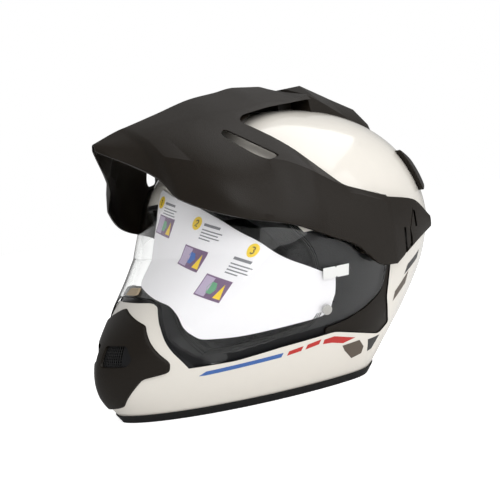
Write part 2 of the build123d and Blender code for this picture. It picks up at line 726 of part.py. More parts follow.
with BuildPart() as peak_bracket:
    add(shell_form(guide_gap + guide_thickness, head_half_length * 1.9))
    add(shell_form(guide_gap, head_half_length), mode=Mode.SUBTRACT)
    add(side_prism(guide_shares), mode=Mode.INTERSECT)
    add(block(foot_low, foot_high) & shell_form(guide_gap + guide_thickness, head_half_length * 1.9))
    with BuildSketch(Plane.XZ.offset(-outline_zero_y - post_rear_y)):
        with BuildLine():
            Polyline(
                (-post_half_width, post_base_z),
                (post_half_width, post_base_z),
                (post_half_width, post_side_z),
                (0.0, post_ridge_z),
                (-post_half_width, post_side_z),
                close=True,
            )
        make_face()
    extrude(amount=post_rear_y - post_front_y)
    add(shell_form(seat_gap, head_half_length), mode=Mode.SUBTRACT)
    add(under_peak, mode=Mode.INTERSECT)
peak_bracket.part.label = "peak_bracket"
export_step(peak_bracket.part, "parts/peak_bracket.step")

# Top exhaust vent behind the ridge, with its slider in a sloping pocket.
vent_section_shares = [
    (0.26, [(0.0, 2.635), (0.20, 2.615), (0.50, 2.50), (0.52, 2.36), (0.52, 2.10)]),
    (0.44, [(0.0, 2.645), (0.20, 2.64), (0.46, 2.44), (0.48, 2.25), (0.48, 2.05)]),
    (0.72, [(0.0, 2.51), (0.25, 2.50), (0.44, 2.30), (0.46, 2.12), (0.46, 1.95)]),
    (0.99, [(0.0, 2.38), (0.30, 2.37), (0.42, 2.15), (0.44, 2.00), (0.44, 1.80)]),
    (1.12, [(0.0, 2.22), (0.34, 2.21), (0.40, 2.06), (0.42, 1.92), (0.42, 1.80)]),
]
slider_y = 84.0
slider_z = 245.2
slider_slope = 25.7
slider_size = (20.0, 12.0, 5.0)
slider_pocket_size = (22.0, 24.0, 3.0)
slider_start = -5.0

with BuildPart() as top_vent:
    add(arch([(y * head_half_length, sized(shares)) for y, shares in vent_section_shares]))
    add(shell_form(seat_gap, head_half_length), mode=Mode.SUBTRACT)
    with Locations(Location((0, outline_zero_y + slider_y, slider_z), (-slider_slope, 0, 0))):
        Box(*slider_pocket_size, mode=Mode.SUBTRACT)
top_vent.part.label = "top_vent"
export_step(top_vent.part, "parts/top_vent.step")

with BuildPart() as top_vent_slider:
    with Locations(Location((0, outline_zero_y + slider_y, slider_z), (-slider_slope, 0, 0))):
        with Locations([(0, slider_start, (slider_size[2] - slider_pocket_size[2]) / 2 + seat_gap)]):
            Box(*slider_size)
top_vent_slider.part.label = "top_vent_slider"
export_step(top_vent_slider.part, "parts/top_vent_slider.step")

# Exhaust vents on both rear quarters.
rear_vent_shares = [(0.86, 1.90), (1.12, 1.78), (1.18, 1.56), (1.00, 1.50)]
rear_vent_inside_x = 58.0
rear_vent_height = 4.5

with BuildPart() as rear_vent_left:
    add(shell_form(rear_vent_height, pivot_z))
    add(shell_form(seat_gap, pivot_z - liner_low), mode=Mode.SUBTRACT)
    add(side_prism(rear_vent_shares, rear_vent_inside_x, reach), mode=Mode.INTERSECT)
rear_vent_left.part.label = "rear_vent_left"
export_step(rear_vent_left.part, "parts/rear_vent_left.step")

with BuildPart() as rear_vent_right:
    mirror(rear_vent_left.part, about=Plane.YZ)
rear_vent_right.part.label = "rear_vent_right"
export_step(rear_vent_right.part, "parts/rear_vent_right.step")

# Chin vent: a cover with two slots, mesh in the shell's intake, and a shutter that slides up.
chin_cover_shares = both_sides(
    [(0.0, 0.14), (0.15, 0.16), (0.37, 0.39), (0.52, 0.42), (0.54, 0.50), (0.41, 0.71), (0.36, 0.795), (0.0, 0.915)]
)
chin_slot_shares = [(0.05, 0.50), (0.30, 0.50), (0.34, 0.56), (0.28, 0.66), (0.05, 0.66)]
chin_cover_height = 2.4
mesh_front = 1.0
mesh_back = 2.2
shutter_low = (-23.7, -160.0, 48.6)
shutter_high = (23.7, -158.0, 58.6)
left_chin_slot = front_prism(chin_slot_shares)

with BuildPart() as chin_vent_cover:
    add(shell_form(chin_cover_height, rim_height, head_half_length))
    add(shell_form(seat_gap, 0.0, head_half_length + liner_low), mode=Mode.SUBTRACT)
    add(front_prism(chin_cover_shares, -reach, -head_half_length), mode=Mode.INTERSECT)
    add(left_chin_slot, mode=Mode.SUBTRACT)
    add(mirror(left_chin_slot, about=Plane.YZ), mode=Mode.SUBTRACT)
chin_vent_cover.part.label = "chin_vent_cover"
export_step(chin_vent_cover.part, "parts/chin_vent_cover.step")

with BuildPart() as chin_vent_mesh:
    add(shell_form(-mesh_front, rim_height, head_half_length))
    add(shell_form(-mesh_back, 0.0, head_half_length + liner_low), mode=Mode.SUBTRACT)
    add(
        block(
            (seat_gap - chin_intake_half_width, -reach, chin_intake_low + seat_gap),
            (chin_intake_half_width - seat_gap, -head_half_length, chin_intake_high - seat_gap),
        ),
        mode=Mode.INTERSECT,
    )
chin_vent_mesh.part.label = "chin_vent_mesh"
export_step(chin_vent_mesh.part, "parts/chin_vent_mesh.step")

with BuildPart() as chin_vent_shutter:
    add(block(shutter_low, shutter_high))
chin_vent_shutter.part.label = "chin_vent_shutter"
export_step(chin_vent_shutter.part, "parts/chin_vent_shutter.step")
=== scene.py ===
import json
import math
from functools import lru_cache

import bmesh
import bpy
import numpy as np
from bpy.props import FloatProperty, FloatVectorProperty, IntProperty, PointerProperty
from mathutils import Matrix, Vector


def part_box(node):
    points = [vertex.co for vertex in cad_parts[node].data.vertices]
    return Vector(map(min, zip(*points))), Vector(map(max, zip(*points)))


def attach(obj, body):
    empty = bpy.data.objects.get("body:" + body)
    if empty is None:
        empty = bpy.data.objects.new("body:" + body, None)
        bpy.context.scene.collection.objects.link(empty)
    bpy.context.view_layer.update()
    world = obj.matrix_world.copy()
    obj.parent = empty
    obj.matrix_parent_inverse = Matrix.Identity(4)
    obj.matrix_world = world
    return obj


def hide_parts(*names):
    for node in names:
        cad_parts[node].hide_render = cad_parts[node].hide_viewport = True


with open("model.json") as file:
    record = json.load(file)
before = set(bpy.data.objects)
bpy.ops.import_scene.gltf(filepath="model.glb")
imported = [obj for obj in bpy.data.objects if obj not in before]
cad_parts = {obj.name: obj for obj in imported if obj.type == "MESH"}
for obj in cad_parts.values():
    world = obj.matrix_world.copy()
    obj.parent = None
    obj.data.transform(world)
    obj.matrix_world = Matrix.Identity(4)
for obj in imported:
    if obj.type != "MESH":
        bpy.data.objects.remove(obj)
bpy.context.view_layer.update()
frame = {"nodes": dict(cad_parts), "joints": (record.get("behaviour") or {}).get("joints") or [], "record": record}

bl_info = {
    "name": "Dual sport helmet",
    "version": (1, 0, 0),
    "blender": (4, 5, 0),
    "location": "View3D > Sidebar > Helmet",
    "description": "Dresses the helmet's solids with smooth shells, finishes, graphics and a stage",
    "category": "Object",
}

MM = 0.001

# Form of the helmet, in mm, as the solids have it. The outlines' own zero lies behind the
# middle of the helmet's length.
OUTLINE_ZERO_Y = 16.7
PIVOT = Vector((0, frame["joints"][0]["pos_m"][1] / MM, frame["joints"][0]["pos_m"][2] / MM))
PIVOT_OUTLINE_Y = PIVOT.y - OUTLINE_ZERO_Y
DOME_RADIUS = 117.5
HALF_WIDTH = 125.0
REAR_LENGTH = 153.0
BROW_FLARE = 9.0
FLARE_HEIGHT = 35.0
CROWN_POWER = 2.15
REAR_POWER = 2.15
BROW_POWER = 2.3
# height, front, rear, half width, nose power
LOW_LEVELS = (
    (0.0, -173.0, 50.0, 86.0, 1.55),
    (25.0, -188.0, 72.0, 101.0, 1.6),
    (55.0, -185.0, 107.0, 113.0, 1.7),
    (90.0, -157.0, 141.0, 121.0, 2.0),
    (108.0, -139.0, 150.0, 124.0, 2.15),
    (126.0, -122.5, 157.0, 125.0, 2.3),
)
# The same for the space inside the foam.
CAVITY_LEVELS = (
    (0.0, -126.0, 38.0, 66.0, 2.0),
    (25.0, -142.0, 52.0, 78.0, 1.9),
    (55.0, -145.0, 86.0, 86.0, 1.9),
    (90.0, -112.0, 110.0, 88.0, 2.1),
    (126.0, -84.5, 119.0, 87.0, 2.3),
)
LINER_DEPTH = 38.0
SHELL_WALL = 5.0
RECESS_DEPTH = 3.2
LIP_DEPTH = 0.6
SHIELD_WALL = 2.0
SHIELD_GAP_TOP = 1.8
SHIELD_SINK_LOW = 1.5
SHIELD_TAPER_LOW = 60.0

# How far cutting solids reach past the helmet, and how far over its crown
REACH = 300
ABOVE = 400
# The rear end of what cuts the chin only, and the low end of solids that run past the rim
CHIN_REAR = -100
BELOW = -20


def cubic(t, a, m, b, n):
    """A cubic from a to b, with their slopes m and n."""
    start = (2 * t**3 - 3 * t**2 + 1) * a + (t**3 - 2 * t**2 + t) * m
    return start + (3 * t**2 - 2 * t**3) * b + (t**3 - t**2) * n


def hermite(heights, values, z):
    """A smooth curve through the table's values."""
    slopes = np.gradient(values, heights)
    i = int(np.clip(np.searchsorted(heights, z) - 1, 0, len(heights) - 2))
    span = heights[i + 1] - heights[i]
    t = (z - heights[i]) / span
    a, b = values[i], values[i + 1]
    m, n = slopes[i] * span, slopes[i + 1] * span
    return cubic(t, a, m, b, n)


LOW_TABLE = np.array(LOW_LEVELS)
CAVITY_TABLE = np.array(CAVITY_LEVELS)


@lru_cache(maxsize=None)
def low_level(z, inside):
    table = CAVITY_TABLE if inside else LOW_TABLE
    return tuple(float(hermite(table[:, 0], table[:, k], z)) for k in (1, 2, 3, 4))


def level(z, more, inside=False):
    """Front, rear, half width and nose power of the form at a height, grown by more."""
    rise = z - PIVOT.z
    if rise <= 0:
        front, rear, width, power = low_level(float(z), inside)
        return front - more + OUTLINE_ZERO_Y, rear + more + OUTLINE_ZERO_Y, width + more, power
    if inside:
        more = more - LINER_DEPTH
    radius = DOME_RADIUS + more
    share = max(0.0, 1 - (rise / radius) ** CROWN_POWER) ** (1 / CROWN_POWER)
    flare = BROW_FLARE * max(0, 1 - rise / FLARE_HEIGHT) ** 1.5
    front = PIVOT.y - math.sqrt(max(0.0, radius**2 - rise**2)) - flare
    return front, PIVOT.y + (REAR_LENGTH + more) * share, (HALF_WIDTH + more) * share, BROW_POWER


def round_point(angle, z, more, inside=False):
    """A point of the form at a height, by its angle from the rear round over the left."""
    front, rear, width, power = level(z, more, inside)
    ahead = math.cos(angle) < 0
    p = power if ahead else REAR_POWER
    length = (PIVOT.y - front) if ahead else (rear - PIVOT.y)
    x = width * math.copysign(abs(math.sin(angle)) ** (2 / p), math.sin(angle))
    y = PIVOT.y + math.copysign(length * abs(math.cos(angle)) ** (2 / p), math.cos(angle))
    return x, y, z


def ring(z, more, steps, inside=False):
    """Points round the form at a height."""
    return [round_point(2 * math.pi * k / steps, z, more, inside) for k in range(steps)]


def grow_of(more):
    """An offset as a function of height, whether it changes or not."""
    return more if callable(more) else (lambda z: more)


def side_x(y, z, more=0.0, inside=False):
    """How far out the form's side is at (y, z)."""
    front, rear, width, power = level(z, grow_of(more)(z), inside)
    p = power if y < PIVOT.y else REAR_POWER
    length = (PIVOT.y - front) if y < PIVOT.y else (rear - PIVOT.y)
    share = min(1.0, abs(y - PIVOT.y) / length)
    return width * (1 - share**p) ** (1 / p)


def front_y(x, z, more=0.0):
    """Where the form's front is at (x, z)."""
    front, _, width, power = level(z, grow_of(more)(z))
    share = min(1.0, abs(x) / width)
    return PIVOT.y - (PIVOT.y - front) * (1 - share**power) ** (1 / power)


def under_form(point, more):
    """Whether a point in mm lies inside the form grown by more."""
    x, y, z = point
    front, rear, width, power = level(round(z, 1), more)
    p = power if y < PIVOT.y else REAR_POWER
    length = (PIVOT.y - front) if y < PIVOT.y else (rear - PIVOT.y)
    if width <= 0 or length <= 0:
        return False
    return (abs(x) / width) ** p + (abs(y - PIVOT.y) / length) ** p < 1


def shield_grow(more):
    """The shield's offset from the shell: flush low down, over it at the pivots."""

    def grow(z):
        share = min(1.0, max(0.0, (z - SHIELD_TAPER_LOW) / (PIVOT.z - SHIELD_TAPER_LOW)))
        return more - SHIELD_SINK_LOW + (SHIELD_GAP_TOP + SHIELD_SINK_LOW) * share

    return grow


def new_object(name, bm):
    mesh = bpy.data.meshes.new(name)
    bm.to_mesh(mesh)
    bm.free()
    obj = bpy.data.objects.new(name, mesh)
    bpy.context.scene.collection.objects.link(obj)
    return obj


def form_solid(name, more, low, high, steps=128, rows=70, inside=False):
    """A closed mesh of the form between two heights, in metres."""
    grow = grow_of(more)
    top = PIVOT.z + DOME_RADIUS + grow(PIVOT.z) - (LINER_DEPTH if inside else 0)
    high = min(high, top - 0.02)
    share = np.linspace(0, 1, rows)
    start = math.asin(max(-1.0, min(1.0, (low - PIVOT.z) / (top - PIVOT.z)))) if low > PIVOT.z else None
    if high > PIVOT.z:
        below = list(np.linspace(low, PIVOT.z, rows // 2)[:-1]) if low < PIVOT.z else []
        begin = start if start is not None else 0.0
        finish = math.asin(min(1.0, (high - PIVOT.z) / (top - PIVOT.z)))
        above = [PIVOT.z + (top - PIVOT.z) * math.sin(begin + (finish - begin) * s) for s in share]
        heights = below + above
    else:
        heights = list(low + (high - low) * share)
    bm = bmesh.new()
    rings = [[bm.verts.new([c * MM for c in p]) for p in ring(z, grow(z), steps, inside)] for z in heights]
    for lower, upper in zip(rings, rings[1:]):
        for k in range(steps):
            bm.faces.new((lower[k], upper[k], upper[(k + 1) % steps], lower[(k + 1) % steps]))
    bm.faces.new(rings[0])
    bm.faces.new(list(reversed(rings[-1])))
    bmesh.ops.recalc_face_normals(bm, faces=bm.faces)
    return new_object(name, bm)


def rounded(points, radius, steps=5):
    """A closed outline with its corners rounded."""
    out = []
    n = len(points)
    for k in range(n):
        a, b, c = (Vector(points[(k + d) % n]) for d in (-1, 0, 1))
        to_a, to_c = a - b, c - b
        r = min(radius, to_a.length * 0.45, to_c.length * 0.45)
        p, q = b + to_a.normalized() * r, b + to_c.normalized() * r
        for s in range(steps + 1):
            t = s / steps
            out.append(((1 - t) ** 2 * p + 2 * t * (1 - t) * b + t**2 * q))
    return out


def prism(name, outline, low, high, axis):
    """A closed prism in metres from an outline: (y, z) along X, or (x, z) along Y."""
    bm = bmesh.new()
    ends = []
    for end in (low, high):
        if axis == "X":
            ends.append([bm.verts.new(Vector((end, y + OUTLINE_ZERO_Y, z)) * MM) for y, z in outline])
        else:
            ends.append([bm.verts.new(Vector((x, end + OUTLINE_ZERO_Y, z)) * MM) for x, z in outline])
    n = len(outline)
    for k in range(n):
        bm.faces.new((ends[0][k], ends[0][(k + 1) % n], ends[1][(k + 1) % n], ends[1][k]))
    bm.faces.new(ends[0])
    bm.faces.new(list(reversed(ends[1])))
    bmesh.ops.recalc_face_normals(bm, faces=bm.faces)
    return new_object(name, bm)


def apply_modifiers(obj):
    """Turns an object with its modifiers into a plain mesh."""
    depsgraph = bpy.context.evaluated_depsgraph_get()
    mesh = bpy.data.meshes.new_from_object(obj.evaluated_get(depsgraph))
    old = obj.data
    obj.modifiers.clear()
    obj.data = mesh
    bpy.data.meshes.remove(old)
    return obj


def remove(obj):
    mesh = obj.data
    bpy.data.objects.remove(obj)
    bpy.data.meshes.remove(mesh)


def carve(obj, tool, operation="DIFFERENCE"):
    """Cuts, keeps or adds with another solid."""
    modifier = obj.modifiers.new("carve", "BOOLEAN")
    modifier.operation = operation
    modifier.solver = "EXACT"
    modifier.object = tool
    apply_modifiers(obj)
    remove(tool)
    return obj


def smooth(obj, angle=32.0):
    """Smooth faces with sharp edges where the surface turns by more than the angle."""
    bm = bmesh.new()
    bm.from_mesh(obj.data)
    bmesh.ops.remove_doubles(bm, verts=bm.verts, dist=2e-6)
    bmesh.ops.dissolve_degenerate(bm, edges=bm.edges, dist=2e-6)
    for face in bm.faces:
        face.smooth = True
    limit = math.radians(angle)
    for edge in bm.edges:
        edge.smooth = len(edge.link_faces) == 2 and edge.calc_face_angle(0) < limit
    bm.to_mesh(obj.data)
    bm.free()
    return obj


def monotone(stations, values, y):
    """A curve through the stations that never swings past them."""
    steps = np.diff(stations)
    rises = np.diff(values) / steps
    slopes = np.zeros(len(values))
    slopes[0], slopes[-1] = rises[0], rises[-1]
    for k in range(1, len(values) - 1):
        before, after = rises[k - 1], rises[k]
        if before * after > 0:
            slopes[k] = 2 * before * after / (before + after)
    k = int(np.clip(np.searchsorted(stations, y) - 1, 0, len(steps) - 1))
    t = (y - stations[k]) / steps[k]
    return cubic(t, values[k], slopes[k] * steps[k], values[k + 1], slopes[k + 1] * steps[k])


def sheet_solid(name, outer, inner, present):
    """A closed wall between two grids of points, over the cells that are present."""
    bm = bmesh.new()
    made = {}

    def vert(side, i, j):
        if (side, i, j) not in made:
            made[side, i, j] = bm.verts.new(Vector((outer, inner)[side][i][j]) * MM)
        return made[side, i, j]

    for i, j in present:
        corners = ((i, j), (i + 1, j), (i + 1, j + 1), (i, j + 1))
        bm.faces.new([vert(0, *c) for c in corners])
        bm.faces.new([vert(1, *c) for c in reversed(corners)])
        for (a, b), step in zip(zip(corners, corners[1:] + corners[:1]), ((0, -1), (1, 0), (0, 1), (-1, 0))):
            if (i + step[0], j + step[1]) not in present:
                bm.faces.new((vert(0, *b), vert(0, *a), vert(1, *a), vert(1, *b)))
    bmesh.ops.recalc_face_normals(bm, faces=bm.faces)
    return new_object(name, bm)


def bevel(obj, width, angle=25.0, segments=2):
    """Breaks the sharp edges, width in mm."""
    modifier = obj.modifiers.new("edges", "BEVEL")
    modifier.width = width * MM
    modifier.segments = segments
    modifier.limit_method = "ANGLE"
    modifier.angle_limit = math.radians(angle)
    return apply_modifiers(obj)


def offset_outline(points, distance):
    """A closed outline moved inwards by a distance."""
    area = sum(a[0] * b[1] - b[0] * a[1] for a, b in zip(points, list(points[1:]) + [points[0]]))
    turn = 1 if area > 0 else -1
    out = []
    n = len(points)
    for k in range(n):
        a, b, c = (Vector(points[(k + d) % n]) for d in (-1, 0, 1))
        before, after = (b - a).normalized(), (c - b).normalized()
        along = before + after
        if along.length < 1e-6:
            along = before
        along.normalize()
        normal = Vector((-along.y, along.x)) * turn
        out.append(b + normal * distance / max(0.4, along.dot(before)))
    return out


def polyline_band(points, width):
    """The outline of a band along a line of points."""
    points = [Vector(p) for p in points]
    left, right = [], []
    for k, point in enumerate(points):
        along = (points[min(k + 1, len(points) - 1)] - points[max(k - 1, 0)]).normalized()
        normal = Vector((-along.y, along.x)) * width / 2
        left.append(point + normal)
        right.append(point - normal)
    return left + right[::-1]


def flip_x(obj, name):
    """The same piece on the other side."""
    bm = bmesh.new()
    bm.from_mesh(obj.data)
    for vert in bm.verts:
        vert.co.x = -vert.co.x
    bmesh.ops.reverse_faces(bm, faces=bm.faces)
    return new_object(name, bm)


def node_copy(node, name):
    """A merged copy of a solid, for a finer piece in its place."""
    bm = bmesh.new()
    bm.from_mesh(frame["nodes"][node].data)
    bmesh.ops.remove_doubles(bm, verts=bm.verts, dist=1e-6)
    return new_object(name, bm)


def cushion(name, outer, inner, wrapped=False, capped=False):
    """A closed cushion between an outer and an inner grid of points, in mm."""
    bm = bmesh.new()
    grids = [[[bm.verts.new(Vector(p) * MM) for p in row] for row in grid] for grid in (outer, inner)]
    rows, columns = len(outer), len(outer[0])
    last = columns if wrapped else columns - 1
    around = [(j, (j + 1) % columns) for j in range(last)]
    for grid in grids:
        for low, high in zip(grid, grid[1:]):
            for j, k in around:
                bm.faces.new((low[j], high[j], high[k], low[k]))
    ends = (0,) if capped else (0, -1)
    for i in ends:
        for j, k in around:
            bm.faces.new((grids[0][i][j], grids[0][i][k], grids[1][i][k], grids[1][i][j]))
    if capped:
        for grid in grids:
            bm.faces.new(grid[-1])
    if not wrapped:
        for i in range(rows - 1):
            for j in (0, -1):
                bm.faces.new((grids[0][i][j], grids[0][i + 1][j], grids[1][i + 1][j], grids[1][i][j]))
    bmesh.ops.recalc_face_normals(bm, faces=bm.faces)
    return new_object(name, bm)


def subdivide(obj, levels=1):
    modifier = obj.modifiers.new("round", "SUBSURF")
    modifier.levels = levels
    modifier.render_levels = levels
    return apply_modifiers(obj)


def puff(share, seams=(), power=0.4):
    """How full a cushion is at a share of its width, drawn in at its edges and seams."""
    stops = (0.0, *seams, 1.0)
    fullness = 1.0
    for low, high in zip(stops, stops[1:]):
        if low <= share <= high:
            fullness = math.sin(math.pi * min(1, max(0, (share - low) / (high - low)))) ** power
    return fullness


def rod_ring(name, points, radius):
    """A round rod along a closed line of points, in mm."""
    curve = bpy.data.curves.new(name, "CURVE")
    curve.dimensions = "3D"
    spline = curve.splines.new("POLY")
    spline.points.add(len(points) - 1)
    for place, point in zip(spline.points, points):
        place.co = (*(Vector(point) * MM), 1)
    spline.use_cyclic_u = True
    curve.bevel_depth = radius * MM
    curve.bevel_resolution = 3
    holder = bpy.data.objects.new(name + "_line", curve)
    bpy.context.scene.collection.objects.link(holder)
    mesh = bpy.data.meshes.new_from_object(holder.evaluated_get(bpy.context.evaluated_depsgraph_get()))
    bpy.data.objects.remove(holder)
    bpy.data.curves.remove(curve)
    obj = bpy.data.objects.new(name, mesh)
    bpy.context.scene.collection.objects.link(obj)
    return obj


def side_place(side):
    """Puts an outline drawn from the side on the form."""
    return lambda u, v, more: Vector((side * side_x(u + OUTLINE_ZERO_Y, v, more), u + OUTLINE_ZERO_Y, v))


@lru_cache(maxsize=None)
def arc_table(z):
    """The way round the shield from its middle to each x, at a height."""
    across = np.linspace(0, 118, 60)
    ahead = [front_y(x, z, shield_grow(CARD_OUT)) for x in across]
    return across, np.concatenate(([0], np.cumsum(np.hypot(np.diff(across), np.diff(ahead)))))


def card_place(u, v, more):
    """Puts a flat print on the card, u round it from the middle and v up."""
    across, ways = arc_table(round(v, 1))
    x = math.copysign(float(np.interp(abs(u), ways, across)), u)
    return Vector((x, front_y(x, v, more), v))


def on_form(name, shapes, place, low, high, cell=4.0):
    """A thin closed sheet on the form, from flat shapes: each an outline and a finish's number."""
    bm = bmesh.new()
    for outline, number in shapes:
        face = bm.faces.new([bm.verts.new((u, v, 0)) for u, v in outline])
        face.material_index = number
    bmesh.ops.remove_doubles(bm, verts=bm.verts, dist=1e-4)
    for k in (0, 1):
        reach = [vert.co[k] for vert in bm.verts]
        at = min(reach) + cell
        while at < max(reach):
            everything = bm.verts[:] + bm.edges[:] + bm.faces[:]
            spot, normal = Vector((0, 0, 0)), Vector((0, 0, 0))
            spot[k], normal[k] = at, 1
            bmesh.ops.bisect_plane(bm, geom=everything, plane_co=spot, plane_no=normal)
            at += cell
    bmesh.ops.triangulate(bm, faces=bm.faces[:])
    raised = bmesh.ops.extrude_face_region(bm, geom=bm.faces[:], use_keep_orig=True)
    tops = {item for item in raised["geom"] if isinstance(item, bmesh.types.BMVert)}
    for vert in bm.verts:
        more = high if vert in tops else low
        vert.co = place(vert.co.x, vert.co.y, more) * MM
    bmesh.ops.recalc_face_normals(bm, faces=bm.faces)
    return new_object(name, bm)


def turned(shape, at, tilt):
    """A flat shape turned by a tilt in degrees and put at a place."""
    c, s = math.cos(math.radians(tilt)), math.sin(math.radians(tilt))
    return [(at[0] + a * c - b * s, at[1] + a * s + b * c) for a, b in shape]


def box_shape(left, low, long, high):
    return ((left, low), (left + long, low), (left + long, low + high), (left, low + high))


def round_shape(radius, steps=28):
    angles = [math.tau * k / steps for k in range(steps)]
    return [(radius * math.cos(angle), radius * math.sin(angle)) for angle in angles]


def smooth_line(points, passes=3):
    """An open line with its corners rounded off."""
    points = [Vector(p) for p in points]
    for _ in range(passes):
        cut = [points[0]]
        for a, b in zip(points, points[1:]):
            cut += [a.lerp(b, 0.25), a.lerp(b, 0.75)]
        points = cut + [points[-1]]
    return points


def webbing_band(name, path, middle_y, half_width, thickness):
    """A flat strap with rounded edges along a line of (x, z) points."""
    line = smooth_line(path)
    half = thickness / 2
    section = []
    for k in range(16):
        angle = math.tau * k / 16
        across = math.copysign(abs(math.cos(angle)) ** 0.25, math.cos(angle)) * half_width
        section.append((across, math.copysign(abs(math.sin(angle)) ** 0.6, math.sin(angle)) * half))
    bm = bmesh.new()
    rings = []
    for k, point in enumerate(line):
        along = (line[min(k + 1, len(line) - 1)] - line[max(k - 1, 0)]).normalized()
        out = Vector((-along.y, along.x))
        spots = [Vector((point.x + out.x * t, middle_y + w, point.y + out.y * t)) for w, t in section]
        rings.append([bm.verts.new(spot * MM) for spot in spots])
    for low, high in zip(rings, rings[1:]):
        for k in range(16):
            bm.faces.new((low[k], high[k], high[(k + 1) % 16], low[(k + 1) % 16]))
    bm.faces.new(rings[0])
    bm.faces.new(list(reversed(rings[-1])))
    bmesh.ops.recalc_face_normals(bm, faces=bm.faces)
    return new_object(name, bm)


def lines(name, paths):
    """Loose lines of edges in mm, for a pattern to follow."""
    bm = bmesh.new()
    for path in paths:
        points = [bm.verts.new(Vector(p) * MM) for p in path]
        for a, b in zip(points, points[1:]):
            bm.edges.new((a, b))
    return new_object(name, bm)


def pattern_tree(name, inputs):
    tree = bpy.data.node_groups.new(name, "GeometryNodeTree")
    tree.interface.new_socket("Line", in_out="INPUT", socket_type="NodeSocketGeometry")
    for label in inputs:
        tree.interface.new_socket(label, in_out="INPUT", socket_type="NodeSocketFloat")
    tree.interface.new_socket("Finish", in_out="INPUT", socket_type="NodeSocketMaterial")
    tree.interface.new_socket("Geometry", in_out="OUTPUT", socket_type="NodeSocketGeometry")
    return tree, tree.nodes.new("NodeGroupInput"), tree.nodes.new("NodeGroupOutput")


def finish_tree(tree, start, end, made):
    """Ends a pattern in real faces with their finish."""
    real = tree.nodes.new("GeometryNodeRealizeInstances")
    dress = tree.nodes.new("GeometryNodeSetMaterial")
    tree.links.new(made, real.inputs["Geometry"])
    tree.links.new(real.outputs["Geometry"], dress.inputs["Geometry"])
    tree.links.new(start.outputs["Finish"], dress.inputs["Material"])
    tree.links.new(dress.outputs["Geometry"], end.inputs["Geometry"])
    return tree


def stitch_tree():
    """Short threads one behind another along a line."""
    tree, start, end = pattern_tree("stitches", ("Pitch", "Length", "Radius"))
    nodes, link = tree.nodes, tree.links.new
    curve = nodes.new("GeometryNodeMeshToCurve")
    points = nodes.new("GeometryNodeCurveToPoints")
    points.mode = "LENGTH"
    thread = nodes.new("GeometryNodeMeshCylinder")
    thread.inputs["Vertices"].default_value = 8
    put = nodes.new("GeometryNodeInstanceOnPoints")
    link(start.outputs["Line"], curve.inputs["Mesh"])
    link(curve.outputs["Curve"], points.inputs["Curve"])
    link(start.outputs["Pitch"], points.inputs["Length"])
    link(start.outputs["Radius"], thread.inputs["Radius"])
    link(start.outputs["Length"], thread.inputs["Depth"])
    link(points.outputs["Points"], put.inputs["Points"])
    link(thread.outputs["Mesh"], put.inputs["Instance"])
    link(points.outputs["Rotation"], put.inputs["Rotation"])
    return finish_tree(tree, start, end, put.outputs["Instances"])


def wire_tree():
    """Round wires along lines."""
    tree, start, end = pattern_tree("wires", ("Radius",))
    nodes, link = tree.nodes, tree.links.new
    curve = nodes.new("GeometryNodeMeshToCurve")
    profile = nodes.new("GeometryNodeCurvePrimitiveCircle")
    profile.inputs["Resolution"].default_value = 8
    sweep = nodes.new("GeometryNodeCurveToMesh")
    sweep.inputs["Fill Caps"].default_value = True
    link(start.outputs["Line"], curve.inputs["Mesh"])
    link(curve.outputs["Curve"], sweep.inputs["Curve"])
    link(start.outputs["Radius"], profile.inputs["Radius"])
    link(profile.outputs["Curve"], sweep.inputs["Profile Curve"])
    return finish_tree(tree, start, end, sweep.outputs["Mesh"])


def patterned(obj, tree, **values):
    """Runs a pattern on an object's lines and keeps its faces."""
    modifier = obj.modifiers.new("pattern", "NODES")
    modifier.node_group = tree
    for item in tree.interface.items_tree:
        if item.in_out == "INPUT" and item.name in values:
            modifier[item.identifier] = values[item.name]
    return apply_modifiers(obj)


def mirrored(outline):
    """A front outline with its other half."""
    return list(outline) + [(-x, z) for x, z in reversed(outline) if x > 0]


def disc(name, radius, from_x, to_x, y, z):
    """A rod across the helmet between two places."""
    bm = bmesh.new()
    turn = Matrix.Rotation(math.pi / 2, 3, "Y")
    bmesh.ops.create_cone(
        bm, cap_ends=True, segments=48, radius1=radius * MM, radius2=radius * MM, depth=abs(to_x - from_x) * MM
    )
    bmesh.ops.rotate(bm, verts=bm.verts, cent=(0, 0, 0), matrix=turn)
    bmesh.ops.translate(bm, verts=bm.verts, vec=Vector(((from_x + to_x) / 2, y + OUTLINE_ZERO_Y, z)) * MM)
    bmesh.ops.recalc_face_normals(bm, faces=bm.faces)
    return new_object(name, bm)


# Finishes


def finish(name, color, roughness, metallic=0.0, coat=0.0, specular=0.5):
    """A plain finish, for a grain or weave to be put on."""
    material = bpy.data.materials.new(name)
    material.use_nodes = True
    shader = material.node_tree.nodes["Principled BSDF"]
    shader.inputs["Base Color"].default_value = (*color, 1)
    shader.inputs["Roughness"].default_value = roughness
    shader.inputs["Metallic"].default_value = metallic
    shader.inputs["Coat Weight"].default_value = coat
    shader.inputs["Coat Roughness"].default_value = 0.03
    shader.inputs["Specular IOR Level"].default_value = specular
    return material


